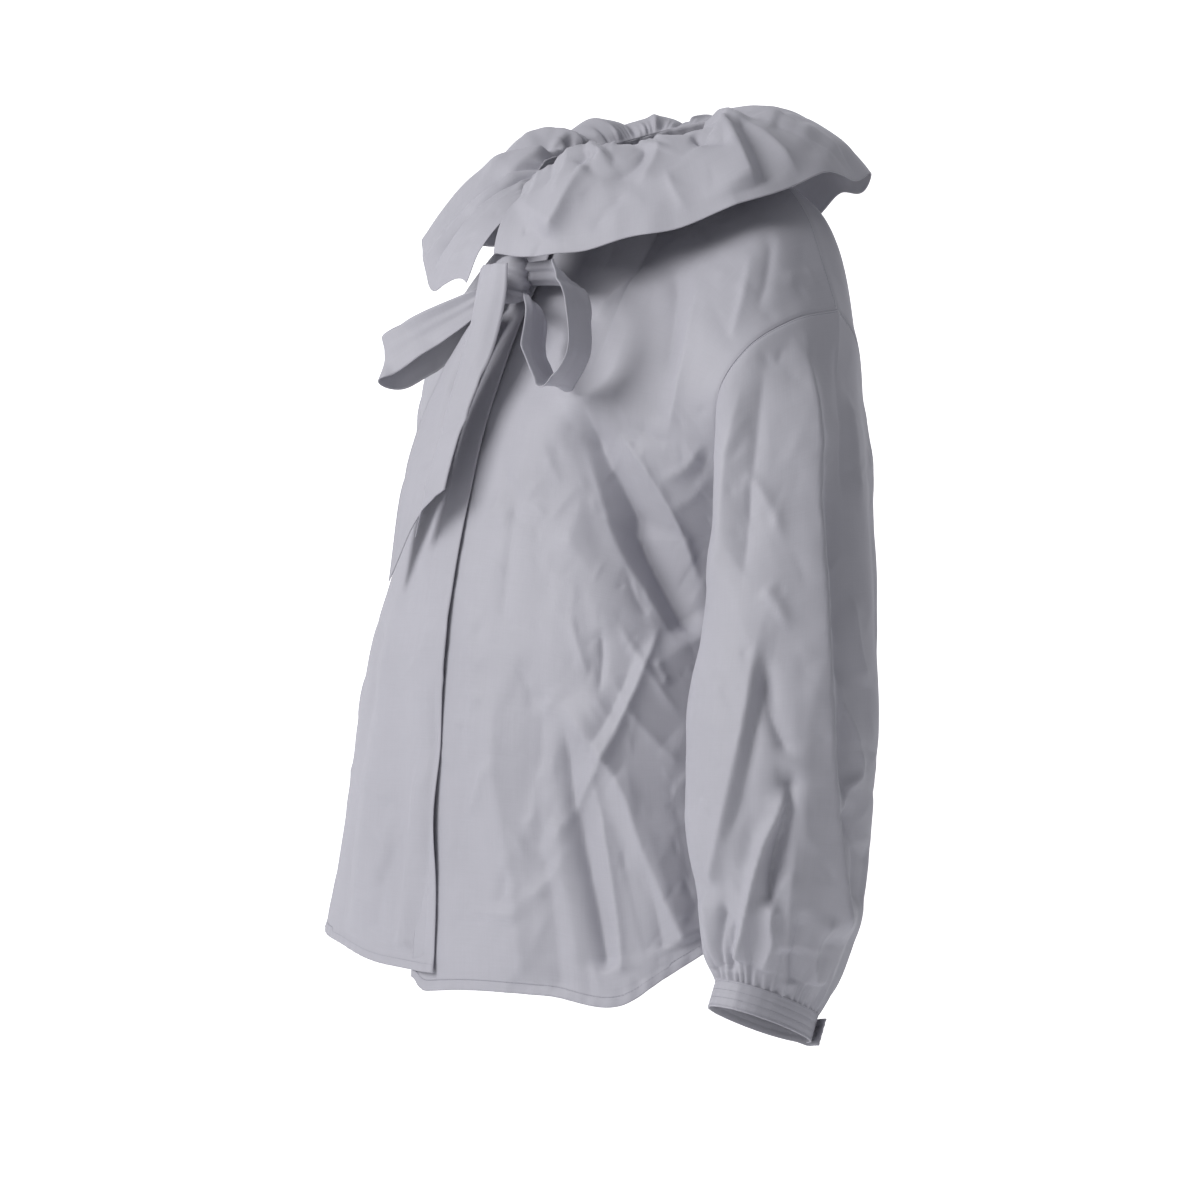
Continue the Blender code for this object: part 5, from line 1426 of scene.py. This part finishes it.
def fine_knot():
    """The knot: a ribbon drawn tight round the others, with folds that run
    over it from upper right to lower left."""
    rows, cols = 72, 120
    tilt = np.linspace(0.03, math.pi - 0.03, rows)[:, None]
    turn = np.linspace(0, 2 * math.pi, cols, endpoint=False)[None, :]
    c, s = np.cos(turn), np.sin(turn)
    x = np.sign(c) * np.abs(c) ** 0.8 * np.sin(tilt) ** 0.7
    y = s * np.sin(tilt) ** 0.8 + 0 * c
    z = np.sign(np.cos(tilt)) * np.abs(np.cos(tilt)) ** 0.85 + 0 * c
    pinch = 1 - 0.10 * np.cos(z * math.pi)
    fold = 0.0
    for k, (slope, place, wide, depth) in enumerate(((0.9, -0.5, 0.13, -0.10), (1.2, 0.0, 0.10, -0.13), (0.8, 0.42, 0.14, -0.10),
                                                     (1.0, -0.22, 0.12, 0.07), (1.1, 0.24, 0.12, 0.06), (0.7, 0.75, 0.12, -0.08))):
        fold = fold + depth * np.exp(-(np.abs(z + slope * x * 0.5 - place) / wide) ** 1.5)
    grow = pinch * (1 + fold)
    points = np.stack([KNOT_CENTRE[0] + 0.003 + KNOT_HALF[0] * 1.28 * x * grow, KNOT_CENTRE[1] + KNOT_HALF[1] * y * grow,
                       KNOT_CENTRE[2] + 0.002 + KNOT_HALF[2] * 1.12 * z * (1 + 0.3 * fold)], axis=-1)
    count = rows * cols
    verts = np.concatenate([points.reshape(-1, 3), points[0].mean(0, keepdims=True), points[-1].mean(0, keepdims=True)])
    faces = []
    for i in range(rows - 1):
        for j in range(cols):
            k = (j + 1) % cols
            faces.append((i * cols + j, (i + 1) * cols + j, (i + 1) * cols + k, i * cols + k))
    for j in range(cols):
        k = (j + 1) % cols
        faces.append((count, j, k))
        faces.append((count + 1, (rows - 1) * cols + k, (rows - 1) * cols + j))
    mesh = bpy.data.meshes.new("knot")
    mesh.from_pydata([tuple(map(float, v)) for v in verts], [], faces)
    mesh.validate()
    mesh.shade_smooth()
    layer = mesh.uv_layers.new(name="cloth")
    co = np.array([v.co[:] for v in mesh.vertices])
    index = np.zeros(len(mesh.loops), dtype=np.int32)
    mesh.loops.foreach_get("vertex_index", index)
    layer.data.foreach_set("uv", co[index][:, [0, 2]].astype(np.float32).ravel())
    mesh.materials.append(RIBBON)
    obj = bpy.data.objects.new("knot", mesh)
    bpy.context.scene.collection.objects.link(obj)
    return obj


# ---------------------------------------------------------------- build
def build():
    made = {}
    for side, name in ((1, "front_left"), (-1, "front_right")):
        points, outward, thick = fine_front(side)
        obj = shell("cloth_" + name, points, CLOTH, thick=thick, flip=side > 0)
        made[name] = (obj, points, outward)
    points, outward, thick = fine_back()
    made["back"] = (shell("cloth_back", points, CLOTH, thick=thick, flip=True), points, outward)
    for side, name in ((1, "left"), (-1, "right")):
        points, outward = fine_sleeve(side)
        made["sleeve_" + name] = (shell("cloth_sleeve_" + name, points, CLOTH, closed=True, flip=side > 0), points, outward)
        points, outward = fine_cuff(side)
        made["cuff_" + name] = (shell("cloth_cuff_" + name, points, CLOTH, thick=0.0011, flip=side > 0), points, outward)
    points, outward = fine_frill()
    made["collar_frill"] = (shell("cloth_frill", points, CLOTH, thick=0.0005), points, outward)
    points, outward = fine_band()
    made["neck_band"] = (shell("cloth_band", points, RIBBON, thick=0.0009), points, outward)
    for node, rows, length, cut, curl, creases in (
            ("bow_loop_left", LOOP_LEFT, 150, 0.0, 0.0012, ((0.33, 0.02, 1.5, 0.05), (0.66, 0.018, 1.6, -0.03), (0.74, 0.02, -1.2, 0.04))),
            ("bow_loop_right", LOOP_RIGHT, 140, 0.0, 0.001, ((0.30, 0.03, 1.2, 0.05), (0.70, 0.03, -1.2, 0.05))),
            ("bow_tail_left", TAIL_LEFT, 130, 0.22, 0.0016, ((0.30, 0.03, 1.4, 0.05), (0.55, 0.03, -1.4, -0.06), (0.78, 0.02, 1.0, 0.05))),
            ("bow_tail_right", TAIL_RIGHT, 130, 0.30, 0.0018, ((0.35, 0.03, 1.2, 0.07), (0.62, 0.03, -1.2, -0.05)))):
        points = fine_ribbon(rows, length, cut=cut, curl=curl, creases=creases)
        made[node] = (shell("ribbon_" + node[4:], points, RIBBON, thick=0.0007), points, None)
    return made


made = build()


def stitch_rows(obj_key, distances, side, first=0):
    """Lines that run parallel to one side of a piece, at given distances."""
    _, points, outward = made[obj_key]
    far = grid_distance(points, side)
    lines = []
    for d in distances:
        if side in ("bottom", "top"):
            at = np.array([np.abs(far[:, j] - d).argmin() for j in range(points.shape[1])])
            j = np.arange(points.shape[1])[first:]
            p, n = points[at[first:], j], outward[at[first:], j]
        else:
            at = np.array([np.abs(far[i] - d).argmin() for i in range(points.shape[0])])
            i = np.arange(points.shape[0])
            p, n = points[i, at], outward[i, at]
        lines.append((p + n * 0.0004, n))
    return lines


hem_front_left = stitches("stitching_hem_left", stitch_rows("front_left", (0.0072,), "bottom"), lift=0.0002)
hem_front_right = stitches("stitching_hem_right", stitch_rows("front_right", (0.0072,), "bottom"), lift=0.0002)
hem_back = stitches("stitching_hem_back", stitch_rows("back", (0.0072,), "bottom"), lift=0.0002)
for side, first in (("left", 64), ("right", 56)):
    stitches("stitching_shoulder_" + side, stitch_rows("front_" + side, (0.0018,), "top", first), wide=0.0005)
for side in ("left", "right"):
    stitches("stitching_armhole_" + side, stitch_rows("sleeve_" + side, (0.0018,), "top"), wide=0.0005)
for side in ("left", "right"):
    _, points, outward = made["cuff_" + side]
    count = points.shape[0] - 1
    lines = []
    for share in CUFF_ROWS:
        k = int(round(share * count))
        lines.append((points[k] + outward[k] * 0.00065, outward[k]))
    stitches("stitching_cuff_" + side, lines, pitch=0.0022, length=0.0016, wide=0.0004)

declare(made["front_left"][0], "front_left", made["front_left"][1], (0.50, 0.74), fullness=1.02)
declare(made["front_right"][0], "front_right", made["front_right"][1], (0.50, 0.74), fullness=1.02)
declare(made["back"][0], "back", made["back"][1], (0.92, 0.72), fullness=1.02)
for side in ("left", "right"):
    declare(made["sleeve_" + side][0], "sleeve_" + side, made["sleeve_" + side][1], (0.56, 0.56), closed=True, fullness=1.05)
    declare(made["cuff_" + side][0], "cuff_" + side, made["cuff_" + side][1], (0.245, 0.022))
declare(made["collar_frill"][0], "collar_frill", made["collar_frill"][1], (1.30, 0.17), fullness=1.05)
declare(made["neck_band"][0], "neck_band", made["neck_band"][1], (0.48, 0.032))
declare(made["bow_loop_left"][0], "bow_loop_left", made["bow_loop_left"][1], (0.30, 0.045))
declare(made["bow_loop_right"][0], "bow_loop_right", made["bow_loop_right"][1], (0.30, 0.045))
declare(made["bow_tail_left"][0], "bow_tail_left", made["bow_tail_left"][1], (0.24, 0.050))
declare(made["bow_tail_right"][0], "bow_tail_right", made["bow_tail_right"][1], (0.25, 0.052))
knot = fine_knot()
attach(knot, "root")
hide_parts("bow_knot")
for obj in bpy.data.objects:
    if obj.type == "MESH" and obj.name.startswith("cuff_button"):
        obj.data.materials.clear()
        obj.data.materials.append(BUTTON)

# ---------------------------------------------------------------- floor, light, camera
def backdrop():
    """A pale floor that rises behind the blouse in one soft curve."""
    profile = []
    for k in range(13):
        profile.append((-6.0 + k * 0.75, -1.35))
    for k in range(1, 13):
        a = math.pi / 2 * k / 12
        profile.append((3.0 + 1.6 * math.sin(a), -1.35 + 1.6 * (1 - math.cos(a))))
    profile.append((4.6, 4.5))
    verts, faces = [], []
    for away, z in profile:
        for s in (-7.0, 7.0):
            p = -TOWARD * away + RIGHT * s
            verts.append((p[0], p[1], z))
    for k in range(len(profile) - 1):
        faces.append((2 * k, 2 * k + 1, 2 * k + 3, 2 * k + 2))
    mesh = bpy.data.meshes.new("floor")
    mesh.from_pydata(verts, [], faces)
    mesh.shade_smooth()
    material = bpy.data.materials.new("pale_floor")
    material.use_nodes = True
    shader = material.node_tree.nodes["Principled BSDF"]
    shader.inputs["Base Color"].default_value = (0.93, 0.93, 0.94, 1)
    shader.inputs["Roughness"].default_value = 0.9
    shader.inputs["Emission Color"].default_value = (1, 1, 1, 1)
    ray = material.node_tree.nodes.new("ShaderNodeLightPath")
    glow = material.node_tree.nodes.new("ShaderNodeMath")
    glow.operation = "MULTIPLY_ADD"
    glow.inputs[1].default_value = 0.55
    glow.inputs[2].default_value = 0.30
    material.node_tree.links.new(ray.outputs["Is Camera Ray"], glow.inputs[0])
    material.node_tree.links.new(glow.outputs[0], shader.inputs["Emission Strength"])
    mesh.materials.append(material)
    obj = bpy.data.objects.new("floor", mesh)
    bpy.context.scene.collection.objects.link(obj)


backdrop()


def area_light(name, where, aim, size, power, colour=(1, 1, 1)):
    from mathutils import Vector
    data = bpy.data.lights.new(name, "AREA")
    data.shape = "RECTANGLE"
    data.size, data.size_y = size
    data.energy = power
    data.color = colour
    obj = bpy.data.objects.new(name, data)
    obj.location = where
    obj.rotation_euler = (Vector(aim) - Vector(where)).to_track_quat("-Z", "Y").to_euler()
    bpy.context.scene.collection.objects.link(obj)


def at(right, toward, up):
    p = RIGHT * right + TOWARD * toward
    return (float(p[0]), float(p[1]), up)


area_light("key", at(-2.5, 1.3, 1.2), (0, 0, -0.35), (2.0, 2.0), 92.0, (1.0, 0.99, 0.98))
area_light("fill", at(1.6, 2.4, 0.3), (0, 0, -0.35), (1.6, 2.0), 5.0, (0.97, 0.98, 1.0))
area_light("top", at(0.0, 0.4, 2.4), (0, 0, -0.3), (1.6, 1.6), 10.0)

world = bpy.data.worlds.new("studio")
bpy.context.scene.world = world
world.use_nodes = True
world.node_tree.nodes["Background"].inputs[0].default_value = (0.95, 0.96, 1.0, 1)
world.node_tree.nodes["Background"].inputs[1].default_value = 0.21
paper = world.node_tree.nodes.new("ShaderNodeBackground")
paper.inputs[0].default_value = (1.0, 1.0, 1.0, 1)
paper.inputs[1].default_value = 1.0
choose = world.node_tree.nodes.new("ShaderNodeMixShader")
ray = world.node_tree.nodes.new("ShaderNodeLightPath")
world.node_tree.links.new(ray.outputs["Is Camera Ray"], choose.inputs[0])
world.node_tree.links.new(world.node_tree.nodes["Background"].outputs[0], choose.inputs[1])
world.node_tree.links.new(paper.outputs[0], choose.inputs[2])
world.node_tree.links.new(choose.outputs[0], world.node_tree.nodes["World Output"].inputs[0])

camera_data = bpy.data.cameras.new("camera")
camera_data.sensor_width = 36.0
camera_data.lens = 36.0 * FOCAL_PIXELS / 1200.0
camera_data.clip_end = 50.0
camera = bpy.data.objects.new("camera", camera_data)
spot = TOWARD * DISTANCE + RIGHT * ASIDE
camera.location = (float(spot[0]), float(spot[1]), EYE_HEIGHT)
camera.rotation_euler = (math.pi / 2, 0.0, AZIMUTH)
bpy.context.scene.collection.objects.link(camera)
bpy.context.scene.camera = camera
bpy.context.scene.view_settings.view_transform = "Standard"
